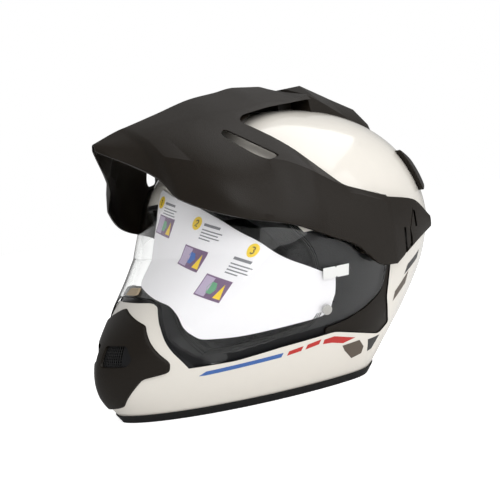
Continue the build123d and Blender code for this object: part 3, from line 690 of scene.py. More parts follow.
def grain(material, scale, depth, variation=0.0, kind="NOISE"):
    """A fine raised grain, with a little change of tone if variation is over zero."""
    nodes, links = material.node_tree.nodes, material.node_tree.links
    shader = nodes["Principled BSDF"]
    place = nodes.new("ShaderNodeTexCoord")
    if kind == "NOISE":
        texture = nodes.new("ShaderNodeTexNoise")
        texture.inputs["Detail"].default_value = 2.0
        out = texture.outputs["Fac"]
    else:
        texture = nodes.new("ShaderNodeTexVoronoi")
        out = texture.outputs["Distance"]
    texture.inputs["Scale"].default_value = scale
    bump = nodes.new("ShaderNodeBump")
    bump.inputs["Strength"].default_value = depth
    bump.inputs["Distance"].default_value = 0.0006
    links.new(place.outputs["Object"], texture.inputs["Vector"])
    links.new(out, bump.inputs["Height"])
    links.new(bump.outputs["Normal"], shader.inputs["Normal"])
    if variation:
        ramp = nodes.new("ShaderNodeMapRange")
        base = shader.inputs["Base Color"].default_value[:3]
        ramp.inputs["To Min"].default_value = 1 - variation
        ramp.inputs["To Max"].default_value = 1 + variation
        mix = nodes.new("ShaderNodeVectorMath")
        mix.operation = "SCALE"
        mix.inputs[0].default_value = base
        links.new(out, ramp.inputs["Value"])
        links.new(ramp.outputs["Result"], mix.inputs["Scale"])
        links.new(mix.outputs["Vector"], shader.inputs["Base Color"])
    return material


def clear_finish(name):
    """Clear moulded plastic that light passes through."""
    material = finish(name, (0.975, 0.98, 0.975), 0.02)
    shader = material.node_tree.nodes["Principled BSDF"]
    shader.inputs["Transmission Weight"].default_value = 1.0
    shader.inputs["IOR"].default_value = 1.25
    return material


def weave(material, scale, depth):
    """Crossing threads in relief."""
    nodes, links = material.node_tree.nodes, material.node_tree.links
    place = nodes.new("ShaderNodeTexCoord")
    both = nodes.new("ShaderNodeMath")
    both.operation = "MULTIPLY"
    for k, way in enumerate(("Y", "DIAGONAL")):
        wave = nodes.new("ShaderNodeTexWave")
        wave.bands_direction = way
        wave.inputs["Scale"].default_value = scale
        links.new(place.outputs["Object"], wave.inputs["Vector"])
        links.new(wave.outputs["Fac"], both.inputs[k])
    bump = nodes.new("ShaderNodeBump")
    bump.inputs["Strength"].default_value = depth
    bump.inputs["Distance"].default_value = 0.0004
    shader = nodes["Principled BSDF"]
    shader.inputs["Sheen Weight"].default_value = 0.25
    links.new(both.outputs[0], bump.inputs["Height"])
    links.new(bump.outputs["Normal"], shader.inputs["Normal"])
    return material


FINISHES = {}
# name, colour (the first two come from the settings), roughness, shine; grain's scale, depth and change of tone
GRAINED = (
    ("white_gloss", None, 0.16, {"coat": 0.6}, (90, 0.03, 0.015)),
    ("black_plastic", None, 0.45, {"specular": 0.2}, (1100, 0.25, 0.2)),
    ("recess_black", (0.006, 0.006, 0.007), 0.45, {"specular": 0.25}, (700, 0.2, 0.15)),
    ("peak_black", (0.0105, 0.0072, 0.0042), 0.40, {"specular": 0.22}, (1400, 0.25, 0.25)),
    ("tan_plastic", (0.42, 0.33, 0.22), 0.42, {}, (900, 0.2, 0.1)),
    ("black_rubber", (0.008, 0.008, 0.008), 0.6, {"specular": 0.25}, (500, 0.15, 0.15)),
    ("foam", (0.03, 0.03, 0.032), 0.85, {}, (240, 0.6, 0.2)),
    ("thread", (0.16, 0.16, 0.17), 0.8, {}, (2500, 0.4, 0.2)),
    ("steel", (0.62, 0.61, 0.58), 0.25, {"metallic": 1.0}, (300, 0.05, 0.04)),
    ("card", (0.86, 0.845, 0.87), 0.6, {"specular": 0.3}, (400, 0.04, 0.02)),
    ("paper", (0.85, 0.85, 0.83), 0.6, {}, (400, 0.04, 0.02)),
    ("mesh", (0.03, 0.03, 0.03), 0.5, {"metallic": 0.6}, (800, 0.3, 0.2)),
)
BEADED = ("foam", "mesh")
# name, colour, roughness; the weave's scale and depth
WOVEN = (
    ("lining", (0.035, 0.035, 0.04), 0.92, (260, 0.7)),
    ("webbing", (0.02, 0.02, 0.02), 0.8, (180, 0.9)),
)


def make_finishes():
    """Makes every finish, and keeps it by its name."""
    look = bpy.context.scene.helmet_look
    colors = {"white_gloss": tuple(look.shell_color), "black_plastic": tuple(look.plastic_color)}
    for name, color, roughness, shine, relief in GRAINED:
        kind = "BEADS" if name in BEADED else "NOISE"
        made = finish(name, colors.get(name, color), roughness, **shine)
        FINISHES[name] = grain(made, *relief, kind=kind)
    for name, color, roughness, relief in WOVEN:
        FINISHES[name] = weave(finish(name, color, roughness), *relief)
    FINISHES["clear_shield"] = clear_finish("clear_shield")
    for name, color in INKS:
        FINISHES[name] = grain(finish(name, color, 0.4), 1500, 0.05, 0.08)


def paint(obj, *names):
    """Gives a piece its finishes, by the numbers on its faces."""
    numbers = [face.material_index for face in obj.data.polygons]
    obj.data.materials.clear()
    for name in names:
        obj.data.materials.append(FINISHES[name])
    for face, number in zip(obj.data.polygons, numbers):
        face.material_index = number if len(names) > 1 else 0
    return obj


def carried(name, body, slot_name, *replaced, finishes=()):
    """Seats a finished piece on its body, for the nodes that it stands for."""
    obj = bpy.data.objects[name]
    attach(obj, body)
    if replaced:
        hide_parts(*replaced)
    return paint(obj, *(finishes or (slot_name,)))


INKS = (
    ("ink_grey", (0.20, 0.20, 0.22)),
    ("ink_mauve", (0.17, 0.10, 0.19)),
    ("ink_lilac", (0.46, 0.38, 0.52)),
    ("ink_yellow", (0.86, 0.60, 0.03)),
    ("ink_green", (0.13, 0.36, 0.20)),
    ("ink_blue", (0.05, 0.14, 0.42)),
    ("ink_black", (0.02, 0.02, 0.02)),
    ("ink_red", (0.52, 0.025, 0.02)),
    ("ink_brown", (0.10, 0.075, 0.055)),
)
# The card's two faces, from the shield's inner face, and its print's layers, from the card's outer face
CARD_OUT, CARD_IN = -0.55, -0.9
INK_SUNK, INK_TOP, DIGIT_LOW, DIGIT_TOP = -0.02, 0.12, 0.13, 0.24
# The label's and the latch's height over the shield
LABEL_LOW, LABEL_RISE, LATCH_RISE = 0.02, 0.45, 2.3
# Digits as lines of points, 5 mm high
DIGITS = (
    (((-1.0, 1.5), (0.2, 2.4), (0.2, -2.4)),),
    (((-1.4, 1.3), (-1.0, 2.1), (0, 2.4), (1.0, 2.1), (1.3, 1.2), (0.8, 0.2), (-1.4, -2.1), (1.5, -2.1)),),
    (
        ((-1.3, 2.0), (-0.2, 2.4), (1.0, 2.0), (1.1, 1.0), (0.3, 0.3),
         (1.2, -0.5), (1.1, -1.9), (-0.1, -2.4), (-1.4, -1.9)),
    ),
)
# Each printed block: the disc's place round the card and up it, its tilt, and where its lines and picture are
PRINT_BLOCKS = (
    ((-4.5, 173), -14, (8, -1), (4, -24)),
    ((51.5, 152), -18, (8, -1), (-3, -32)),
    ((106, 126), -20, (-12, -10), (-26, -38)),
)
# Bars that stand for lines of words: length and height
WORD_BARS = ((17, 1.9), (21, 0.8), (18, 0.8), (20, 0.8), (12, 0.8))
# Bands on the sides, (y, z), and the number of their ink: blue, red, black, brown
SIDE_BANDS = (
    (((-133, 35.6), (-128, 38.6), (-72, 42), (-73.5, 38.6), (-128.5, 35.4)), 0),
    (((-69, 38.9), (-67.5, 42.3), (-56, 44), (-57.5, 40.4)), 1),
    (((-54, 40.7), (-52.5, 44.4), (-41, 46.4), (-42.5, 42.6)), 1),
    (((-39, 41.8), (-38, 45.4), (-29, 46.2), (-8, 40.4), (-20, 38.2), (-31, 41.2)), 1),
    (((-20, 36), (-3, 37), (3, 30), (2, 24), (-8, 22), (-17, 31)), 3),
    (((7, 35), (22, 35.6), (14, 25), (9, 24), (8, 30.5)), 2),
    (((82, 99), (58, 90), (52, 82), (78, 92)), 2),
    (((60, 84), (38, 70), (36, 62), (56, 74)), 3),
)

# Outlines, (y, z) from the side and (x, z) from the front, in mm

INTAKE_FRONT = ((-24, 48), (24, 48), (24, 68), (-24, 68))
RECESS_SIDE = (
    (-250, 44), (-127, 43), (-108, 43), (-74, 47), (-29, 50), (20, 37),
    (34, 44), (31, 50), (26, 68), (30, 95), (31, 106), (-10, 112), (-14, 134), (-250, 134),
)
RECESS_HUMP = ((0, 20), (63, 20), (61, 46), (50, 73), (46, 81), (39, 93), (30, 95), (0, 95))
PORT_SIDE = (
    (-250, 52), (-127, 51), (-108, 51), (-74, 55), (-50, 58), (-42, 66),
    (-38, 80), (-44, 120), (-62, 150), (-80, 172), (-250, 172),
)
PORT_HUMP = ((0, 20), (70, 20), (67, 53), (57, 75), (53, 84), (45, 98), (34, 101), (0, 101))
SHIELD_SIDE = (
    (-250, 50.5), (-134, 51), (-110, 50), (-76, 55), (-38, 57), (-17, 60), (0, 66), (14, 74), (19, 80),
    (22, 94), (30, 103), (36, 114), (37, 128), (34, 142), (26, 153), (14, 158), (-20, 158), (-45, 160),
    (-62, 165), (-80, 179), (-96, 188), (-250, 190),
)
SHIELD_HUMP = ((0, 20), (67, 20), (66, 52), (62, 58), (51, 74), (46, 83), (36, 97), (13, 99), (0, 99))
SHIELD_TAB = ((68, 54), (69, 45), (73, 43.5), (76, 45), (77, 54))
CARD_CORNER = 7.0
CARD_OUTLINE = (
    (-2, 108), (50, 92), (58, 84), (62, 74), (69, 65), (72, 64), (84, 62), (96, 63), (108, 65),
    (111, 69), (117, 87), (119, 97), (116, 108), (99, 132), (72, 152), (48, 165), (-13, 185),
)
SHIELD_LOW, SHIELD_HIGH = 40.0, 206.0
PANEL_SIDE = (
    (-37, 50), (-29, 50.8), (20, 37.7), (33.4, 44.1), (30.4, 50), (25.4, 68), (29.4, 95),
    (30.4, 105), (26.5, 105), (24.5, 94), (21.5, 79), (16, 72), (1.5, 64), (-17, 58), (-37, 55),
)
LABEL_SIDE = (
    (-43, 104), (-33, 104), (-32, 102.6), (-31, 104), (-20, 104),
    (-20, 95), (-30, 95), (-31, 96.4), (-32, 95), (-43, 95),
)
LATCH_FRONT = ((-10, 101), (10, 101), (8, 106), (-8, 106))
REAR_VENT_SIDE = ((86, 190), (112, 178), (118, 156), (100, 150))
CHIN_COVER = ((0, 14), (15, 16), (37, 39), (52, 42), (54, 50), (41, 71), (36, 79.5), (0, 91.5))
CHIN_SLOT = ((5, 50), (30, 50), (34, 56), (28, 66), (5, 66))
WINDOW_SIDE = (
    (-60, 229), (-55, 221), (-50, 211), (-38, 191), (-17, 165.5), (24, 152.3), (60, 150),
    (60, 236), (36, 240.5), (23, 245.5), (-22, 240.5), (-53, 234.5),
)
SLOT_SIDE = ((-83, 219), (-76, 224), (-57, 194.5), (-67, 192.5), (-71, 195.5), (-74, 199.5))
# Cross sections of the peak from its tip to the rear of the hood: y, then (x, z) from ridge to edge
HOOD_SECTIONS = (
    (-162, ((0, 227), (2, 226.5), (2.5, 225.5), (3, 224.5),
            (3.2, 223.5), (3.4, 222.5), (3.4, 221.7), (3, 221))),
    (-138, ((0, 237), (13, 230.3), (31, 221), (43, 211),
            (54, 194), (55.5, 192.5), (56.5, 191.7), (57, 191))),
    (-130, ((0, 239.4), (17, 232.3), (36, 222.5), (58, 206.5),
            (67.5, 188.5), (69, 183), (70.5, 177.5), (71.5, 172.5))),
    (-102, ((0, 248.3), (29, 237.2), (49, 226), (88.5, 195.2),
            (101.3, 179), (105.5, 165), (106, 159), (104.5, 153))),
    (-65, ((0, 260), (44, 241.2), (80.5, 213.8), (107, 192.5),
           (116, 172.5), (119, 156), (122, 147.5), (122, 141.3))),
    (-40, ((0, 264.4), (47, 244), (92.2, 210.9), (128.9, 175.9),
           (129, 167.7), (131.1, 157.5), (133, 143.6), (132.5, 128.4))),
    (-17, ((0, 268.5), (49.5, 246.2), (88, 208), (128.5, 165),
           (129, 163.5), (132, 158), (134.5, 140), (133.5, 118.5))),
    (10, ((0, 268.5), (50, 246.5), (88, 205), (130, 156),
          (131, 154), (133.5, 151), (135, 128), (134.5, 97.5))),
    (25, ((0, 264), (51, 250), (88, 205), (131.5, 151),
          (132, 149.5), (133.5, 146), (134.5, 125), (133.5, 96))),
)
WING_SECTIONS = (
    (60, ((126.5, 145), (127, 140), (127.5, 135), (128, 122), (126.5, 110.5))),
    (85, ((121, 128), (121.2, 126), (121.2, 124), (121, 121), (120.5, 119))),
)
WING_SEAM = ((57, 138), (48.4, 121.3), (51.4, 111.5), (35.8, 99.6))
# How far the front flanks are drawn in, by place along the peak
DRAW_Y = (-162.0, -138.0, -130.0, -102.0, -65.0)
DRAW_IN = (0.0, 7.0, 1.2, 0.6, 0.0)
# The way that they are drawn in, for each mm across: along the photograph's line of sight
DRAW_WAY = (-1, 0.675, -0.084)
# The peak's wall, its wall at the tip, how far back that thickens, and the wings' seam
PEAK_WALL = 3.0
TIP_WALL = 1.4
TIP_LONG = 24
SEAM_WIDTH, SEAM_DEPTH = 1.0, 0.8
# Pivot pockets in the shell, the shield's holes there, and corner radii of the large outlines
POCKET_RADIUS, POCKET_FLOOR_X, PIVOT_OUT_X = 18.6, 121.8, 135
PIVOT_HOLE = 9.05
RECESS_CORNER, PORT_CORNER, SHIELD_CORNER = 5.0, 8.0, 6.0
# Painted shade seen through the chin cover's slots, where the shell's faces get the black finish: half width,
# lowest and highest
SLOT_SHADE_PATCH = (36, 46, 71)
# Seated pieces keep this far off what they sit on
SEAT_GAP = 0.05
# Rim trim: how far out and in it reaches, its top, and the floor of the groove that the rim sits in
TRIM_OUT, TRIM_IN, TRIM_TOP, TRIM_FLOOR = 1.5, -6.2, 7, 2.5
# Port seal and its ribs, each between two offsets of the form
SEAL_OUT, SEAL_IN = -2.6, -5.8
RIB_OUT, RIB_IN = -1.6, -3.6
# Ribs of the port seal: where each starts from the port's edge, and how wide it is
SEAL_RIBS, SEAL_RIB_WIDTH, SEAL_WIDTH = (0.3, 1.8, 3.3), 0.8, 4.4
# Side panels, between two offsets of the form; rear vents, how far they stand out and where they start
PANEL_OUT, PANEL_IN = -0.9, -2.9
REAR_VENT_RISE, REAR_VENT_X = 4.5, 58
# Chin cover: how far it stands out, and its groove from its edge
COVER_RISE, GROOVE_FLOOR, GROOVE_START, GROOVE_END = 2.4, 1.2, 4.0, 6.4
# Chin mesh: half width, lowest and highest wire, pitch and wire radius
MESH_HALF, MESH_LOW, MESH_HIGH, MESH_PITCH, MESH_WIRE = 23.4, 48.6, 67.4, 2.0, 0.3


class HelmetLook(bpy.types.PropertyGroup):
    shell_color: FloatVectorProperty(
        name="Shell colour", description="Colour of the gloss shell",
        subtype="COLOR", size=3, default=(0.83, 0.79, 0.72),
    )
    plastic_color: FloatVectorProperty(
        name="Plastic colour", description="Colour of the black plastic",
        subtype="COLOR", size=3, default=(0.011, 0.0080, 0.0052),
    )
    form_steps: IntProperty(
        name="Form steps", description="Steps round the smooth shells", default=160, min=32, max=256
    )


class HelmetStage(bpy.types.PropertyGroup):
    floor_half: FloatProperty(
        name="Floor half width", description="Half width of the floor", default=6.0, unit="LENGTH"
    )
    key_power: FloatProperty(name="Key light", description="Power of the key light", default=20.0, min=0)


def wall(name, outer, inner, low, high, keep, inside=False):
    """A wall of the form between two offsets, kept inside another solid."""
    steps = bpy.context.scene.helmet_look.form_steps
    obj = form_solid(name, outer, low, high, steps, inside=inside)
    carve(obj, keep, "INTERSECT")
    return carve(obj, form_solid("core", inner, low - 20, high + 20, steps, inside=inside))


def port_prism(inset=0.0):
    """The eye port's outline as a solid, or one drawn in from it."""
    side = offset_outline(rounded(PORT_SIDE, PORT_CORNER), inset)
    body = prism("port", side, -REACH, REACH, "X")
    hump = offset_outline(rounded(mirrored(PORT_HUMP), PORT_CORNER), -inset)
    return carve(body, prism("hump", hump, -REACH, 0, "Y"))


def shield_prism():
    """The shield's outline as a solid, with its tab."""
    body = prism("keep", rounded(SHIELD_SIDE, SHIELD_CORNER), -REACH, REACH, "X")
    carve(body, prism("hump", rounded(mirrored(SHIELD_HUMP), PORT_CORNER), -REACH, 0, "Y"))
    return carve(body, prism("tab", rounded(SHIELD_TAB, 2.0), -REACH, CHIN_REAR, "Y"), "UNION")


class HELMET_OT_shell(bpy.types.Operator):
    """Makes the smooth gloss shell with its recess and eye port"""

    bl_idname = "helmet.shell"
    bl_label = "Shell"

    def execute(self, context):
        steps = context.scene.helmet_look.form_steps
        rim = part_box("outer_shell")[0].z / MM
        shell = form_solid("gloss_shell", 0.0, rim, ABOVE, steps)
        recess = prism("recess", rounded(RECESS_SIDE, RECESS_CORNER), -REACH, REACH, "X")
        carve(recess, prism("hump", rounded(mirrored(RECESS_HUMP), PORT_CORNER), -REACH, 0, "Y"))
        carve(recess, form_solid("floor", -RECESS_DEPTH, BELOW, ABOVE, steps))
        carve(shell, recess)
        carve(shell, form_solid("inside", -SHELL_WALL, BELOW, ABOVE, steps))
        port = prism("port", rounded(PORT_SIDE, PORT_CORNER), -REACH, REACH, "X")
        carve(port, prism("hump", rounded(mirrored(PORT_HUMP), PORT_CORNER), -REACH, 0, "Y"))
        carve(shell, port)
        carve(shell, prism("intake", INTAKE_FRONT, -REACH, CHIN_REAR, "Y"))
        for side in (-1, 1):
            floor_x, open_x = side * POCKET_FLOOR_X, side * PIVOT_OUT_X
            carve(shell, disc("pocket", POCKET_RADIUS, floor_x, open_x, PIVOT_OUTLINE_Y, PIVOT.z))
        bevel(shell, 0.5, 40)
        smooth(shell, 30)
        # Painted shade: the shell's faces behind the chin cover's slots get the black finish so that the slots
        # read dark; the faces under the recess's depth get it as their own colour.
        slot_half, slot_low, slot_high = SLOT_SHADE_PATCH
        for face in shell.data.polygons:
            x, y, z = face.center / MM
            slot_shade = abs(x) < slot_half and slot_low < z < slot_high and y < CHIN_REAR
            face.material_index = int(slot_shade or under_form((x, y, z), -LIP_DEPTH))
        carried("gloss_shell", "helmet", "white_gloss", "outer_shell", finishes=("white_gloss", "recess_black"))
        return {"FINISHED"}


class HELMET_OT_rim(bpy.types.Operator):
    """Makes the rubber trim round the lower rim"""

    bl_idname = "helmet.rim"
    bl_label = "Rim trim"

    def execute(self, context):
        steps = context.scene.helmet_look.form_steps
        trim = form_solid("rim_trim", TRIM_OUT, 0, TRIM_TOP, steps, 6)
        carve(trim, form_solid("inside", TRIM_IN, BELOW, 30, steps, 4))
        groove = form_solid("slot", SEAT_GAP, TRIM_FLOOR, 30, steps, 4)
        carve(trim, carve(groove, form_solid("core", -SHELL_WALL - SEAT_GAP, 0, 40, steps, 4)))
        bevel(trim, 0.7, 40, 3)
        smooth(trim, 40)
        carried("rim_trim", "helmet", "black_rubber", "base_trim")
        return {"FINISHED"}


class HELMET_OT_port_seal(bpy.types.Operator):
    """Makes the ribbed rubber seal round the eye port"""

    bl_idname = "helmet.port_seal"
    bl_label = "Port seal"

    def execute(self, context):
        seal = wall("port_seal", SEAL_OUT, SEAL_IN, 20, 240, port_prism())
        carve(seal, port_prism(SEAL_WIDTH))
        for start in SEAL_RIBS:
            rib = wall("rib", RIB_OUT, RIB_IN, 20, 240, port_prism(start))
            carve(rib, port_prism(start + SEAL_RIB_WIDTH))
            carve(seal, rib, "UNION")
        smooth(seal, 35)
        carried("port_seal", "helmet", "black_rubber", "eyeport_seal")
        return {"FINISHED"}


class HELMET_OT_shield(bpy.types.Operator):
    """Makes the clear face shield and its seated pieces"""

    bl_idname = "helmet.shield"
    bl_label = "Face shield"

    def execute(self, context):
        outer, inner = shield_grow(SHIELD_WALL), shield_grow(0.0)
        shield = wall("clear_face_shield", outer, inner, SHIELD_LOW, SHIELD_HIGH, shield_prism())
        for side in (-1, 1):
            carve(shield, disc("hole", PIVOT_HOLE, side * 110, side * 140, PIVOT_OUTLINE_Y, PIVOT.z))
        bevel(shield, 0.5, 45)
        smooth(shield, 35)
        carried("clear_face_shield", "shield", "clear_shield", "face_shield")

        label_keep = prism("keep", LABEL_SIDE, 0, REACH, "X")
        outer, inner = shield_grow(SHIELD_WALL + LABEL_RISE), shield_grow(SHIELD_WALL + LABEL_LOW)
        label = wall("bare_label", outer, inner, 80, 120, label_keep)
        smooth(label)
        carried("bare_label", "shield", "paper", "shield_label")

        latch_keep = prism("keep", rounded(LATCH_FRONT, 1.6), -REACH, 0, "Y")
        outer, inner = shield_grow(SHIELD_WALL + LATCH_RISE), shield_grow(SHIELD_WALL)
        latch = wall("lift_latch", outer, inner, 90, 115, latch_keep)
        bevel(latch, 0.5, 40, 3)
        smooth(latch, 40)
        carried("lift_latch", "shield", "tan_plastic", "shield_tab")
        smooth(bevel(node_copy("shield_pins", "pins"), 0.35, 40, 3), 35)
        carried("pins", "shield", "steel", "shield_pins")
        return {"FINISHED"}


class HELMET_OT_card(bpy.types.Operator):
    """Makes the card behind the shield, with its print"""

    bl_idname = "helmet.card"
    bl_label = "Card"

    def execute(self, context):
        keep = prism("keep", rounded(CARD_OUTLINE, CARD_CORNER), -REACH, -30, "Y")
        card = wall("printed_card", shield_grow(CARD_OUT), shield_grow(CARD_IN), SHIELD_LOW, SHIELD_HIGH, keep)
        smooth(card, 40)
        carried("printed_card", "shield", "card", "shield_card")
        pictures, digits = self.layout_print()
        for name, shapes, low, high in (
            ("card_print", pictures, INK_SUNK, INK_TOP),
            ("card_digits", digits, DIGIT_LOW, DIGIT_TOP),
        ):
            bottom, top = shield_grow(CARD_OUT + low), shield_grow(CARD_OUT + high)
            smooth(on_form(name, shapes, card_place, bottom, top, 3.0))
        for name in ("card_print", "card_digits"):
            carried(name, "shield", "card", finishes=[ink for ink, color in INKS])
        return {"FINISHED"}

    def layout_print(self):
        """Discs with digits, bars for lines of words, and plain pictures."""
        grey, mauve, lilac, yellow, green, black = 0, 1, 2, 3, 4, 6
        under, over = [], []
        for number, (place, tilt, (words_u, words_v), (left, low)) in enumerate(PRINT_BLOCKS):

            def put(layer, shape, ink):
                layer.append((turned(shape, place, tilt), ink))

            under.append((turned(round_shape(5.0), place, 0), yellow))
            for line in DIGITS[number]:
                put(over, polyline_band(line, 0.85), black)
            for row, (long, high) in enumerate(WORD_BARS):
                lift = 1.0 if row == 0 else 0
                put(under, box_shape(words_u, words_v - row * 2.2 + lift, long, high), grey)
            put(under, box_shape(left, low, 26, 15), mauve)
            put(over, box_shape(left + 1, low + 1, 9, 13), lilac)
            put(over, [(left + 12 + a, low + 7.5 + b) for a, b in round_shape(4.5, 6)], green + number % 2)
            put(over, ((left + 18, low + 2), (left + 25, low + 2), (left + 21.5, low + 12)), yellow)
        return under, over


class HELMET_OT_side_panels(bpy.types.Operator):
    """Makes the satin panels below the shield's rear on both sides"""

    bl_idname = "helmet.side_panels"
    bl_label = "Side panels"

    def execute(self, context):
        keep = prism("keep", rounded(PANEL_SIDE, 3.0), 0, REACH, "X")
        left = wall("panel_left", PANEL_OUT, PANEL_IN, 10, 130, keep)
        bevel(left, 0.4, 40)
        smooth(left, 35)
        flip_x(left, "panel_right")
        carried("panel_left", "helmet", "black_plastic", "side_panel_left")
        carried("panel_right", "helmet", "black_plastic", "side_panel_right")
        return {"FINISHED"}


def drawn_point(x, y, z, inwards):
    """A point of the peak's flank drawn in along the line of sight."""
    return tuple(place + way * inwards for place, way in zip((x, y, z), DRAW_WAY))


def peak_grid(wall_depth, tip_depth):
    """Outer and inner points of the hood and wings, and the cells that they have."""
    hood_y = [y for y, _ in HOOD_SECTIONS]
    hood_at = np.array([points for _, points in HOOD_SECTIONS], dtype=float)
    wing_y = [hood_y[-1]] + [y for y, _ in WING_SECTIONS]
    wing_at = np.array([hood_at[-1, 3:]] + [points for _, points in WING_SECTIONS], dtype=float)
    hood_stations = sorted(set(hood_y) | set(np.linspace(hood_y[0], hood_y[-1], 90)))
    wing_stations = list(np.linspace(wing_y[0], wing_y[-1], 22))[1:]
    outer, inner = [], []
    for y in hood_stations:
        row = [tuple(monotone(hood_y, hood_at[:, j, k], y) for k in (0, 1)) for j in range(8)]
        depth = tip_depth + (wall_depth - tip_depth) * min(1, (y - hood_y[0]) / TIP_LONG)
        edge = row[-1][0]
        sunk = [(x * (1 - depth / edge), z - depth * (1 - x / edge)) for x, z in row]
        outer.append(row)
        inner.append(sunk)
    for y in wing_stations:
        row = [tuple(monotone(wing_y, wing_at[:, j, k], y) for k in (0, 1)) for j in range(5)]
        row = [row[0]] * 3 + row
        outer.append(row)
        inner.append([(x - wall_depth, z) for x, z in row])
    stations = hood_stations + wing_stations
    grids = []
    for side in (outer, inner):
        grid = []
        for y, row in zip(stations, side):
            drawn = monotone(DRAW_Y, DRAW_IN, min(y, DRAW_Y[-1]))
            half = [drawn_point(x, y + OUTLINE_ZERO_Y, z, drawn * x / max(row[-1][0], 1)) for x, z in row]
            grid.append([(-x, b, z) for x, b, z in reversed(half[1:])] + half)
        grids.append(grid)
    last_hood = len(hood_stations) - 1
    present = {(i, j) for i in range(last_hood) for j in range(14)}
    present |= {(i, j) for i in range(last_hood, len(stations) - 1) for j in (0, 1, 2, 3, 10, 11, 12, 13)}
    return grids[0], grids[1], present


class HELMET_OT_peak(bpy.types.Operator):
    """Makes the creased peak with its windows, slots and side wings"""

    bl_idname = "helmet.peak"
    bl_label = "Peak"

    def execute(self, context):
        peak = sheet_solid("creased_peak", *peak_grid(PEAK_WALL, TIP_WALL))
        carve(peak, prism("window", rounded(WINDOW_SIDE, 5.0), -REACH, REACH, "X"))
        for side in (-1, 1):
            low_x, high_x = sorted((side * 55, side * REACH))
            carve(peak, prism("slot", rounded(SLOT_SIDE, 4.0), low_x, high_x, "X"))
        seam = prism("seam", polyline_band(WING_SEAM, SEAM_WIDTH), -REACH, REACH, "X")
        carve(seam, sheet_solid("skin", *peak_grid(SEAM_DEPTH, SEAM_DEPTH)), "INTERSECT")
        carve(peak, seam)
        bevel(peak, 0.45, 16, 2)
        smooth(peak, 24)
        carried("creased_peak", "helmet", "black_plastic", "peak", finishes=("peak_black",))
        return {"FINISHED"}


class HELMET_OT_vents(bpy.types.Operator):
    """Makes the rear vents, and the chin vent's cover and wire mesh"""

    bl_idname = "helmet.vents"
    bl_label = "Vents"

    def execute(self, context):
        keep = prism("keep", rounded(REAR_VENT_SIDE, 3.0), REAR_VENT_X, REACH, "X")
        left = wall("vent_rear_left", REAR_VENT_RISE, SEAT_GAP, 110, 220, keep)
        bevel(left, 0.9, 40, 3)
        smooth(left, 40)
        flip_x(left, "vent_rear_right")
        carried("vent_rear_left", "helmet", "black_plastic", "rear_vent_left")
        carried("vent_rear_right", "helmet", "black_plastic", "rear_vent_right")

        outline = rounded(mirrored(CHIN_COVER), 3.0)
        keep = prism("keep", outline, -REACH, CHIN_REAR, "Y")
        for side in (-1, 1):
            slot = [(side * x, z) for x, z in rounded(CHIN_SLOT, 3.0)]
            carve(keep, prism("slot", slot, -REACH, 0, "Y"))
        cover = wall("chin_cover", COVER_RISE, SEAT_GAP, 8, 100, keep)
        ring_keep = prism("groove", offset_outline(outline, GROOVE_START), -REACH, CHIN_REAR, "Y")
        carve(ring_keep, prism("core", offset_outline(outline, GROOVE_END), -REACH - 20, -80, "Y"))
        carve(cover, wall("groove_ring", 6.0, GROOVE_FLOOR, 8, 100, ring_keep))
        bevel(cover, 0.45, 40)
        smooth(cover, 40)
        carried("chin_cover", "helmet", "black_plastic", "chin_vent_cover")

        across, past = np.linspace(-MESH_HALF, MESH_HALF, 24), 0.1
        upwards = np.linspace(MESH_LOW, MESH_HIGH, 12)
        wires = []
        for x in np.arange(-MESH_HALF, MESH_HALF + past, MESH_PITCH):
            wires.append([(x, front_y(x, z, -1.5), z) for z in upwards])
        for z in np.arange(MESH_LOW, MESH_HIGH + past, MESH_PITCH):
            wires.append([(x, front_y(x, z, -1.9), z) for x in across])
        patterned(lines("chin_mesh", wires), wire_tree(), Radius=MESH_WIRE * MM, Finish=FINISHES["mesh"])
        carried("chin_mesh", "helmet", "mesh", "chin_vent_mesh")
        return {"FINISHED"}


class HELMET_OT_decals(bpy.types.Operator):
    """Makes the painted bands on both sides"""

    bl_idname = "helmet.decals"
    bl_label = "Side bands"

    def execute(self, context):
        for side, name in ((1, "bands_left"), (-1, "bands_right")):
            smooth(on_form(name, SIDE_BANDS, side_place(side), -0.05, 0.14))
            carried(name, "helmet", "white_gloss", finishes=("ink_blue", "ink_red", "ink_black", "ink_brown"))
        return {"FINISHED"}


# Pads: how far off the foam they start
PAD_GAP = 0.6
# Crown pad: its depth, its lower edge over the pivots, its upper end as an angle, and its inner face's lowest
CROWN_DEPTH, CROWN_LOW, CROWN_END, CROWN_INNER_LOW = 8.0, 24.0, 88, 150.2
# Cheek pad: front and length, middle and height, and where it is thickest, as a height and its inner face's x
CHEEK_FRONT, CHEEK_LENGTH, CHEEK_MIDDLE, CHEEK_HEIGHT = -38.3, 79.0, 61.5, 69.0
CHEEK_THICKEST_Z, CHEEK_INNER_X = 46, 54.0
# Neck roll: depth, lower edge and height, and how far round it goes in degrees
NECK_DEPTH, NECK_LOW, NECK_HEIGHT, NECK_ROUND = 12.0, 4.2, 20.6, 200


def crown_point(row, column, fullness):
    """A point of the crown pad: up it, round it, and how far in from the foam."""
    radius = DOME_RADIUS - LINER_DEPTH
    low, high = math.asin(CROWN_LOW / (radius - PAD_GAP)), math.radians(CROWN_END)
    rise = math.sin(low + (high - low) * row)
    heights = [PIVOT.z + (radius - depth) * rise for depth in (PAD_GAP, CROWN_DEPTH)]
    outer = Vector(round_point(math.tau * column, heights[0], -PAD_GAP, True))
    inner = Vector(round_point(math.tau * column, max(CROWN_INNER_LOW, heights[1]), -CROWN_DEPTH, True))
    return outer.lerp(inner, fullness)


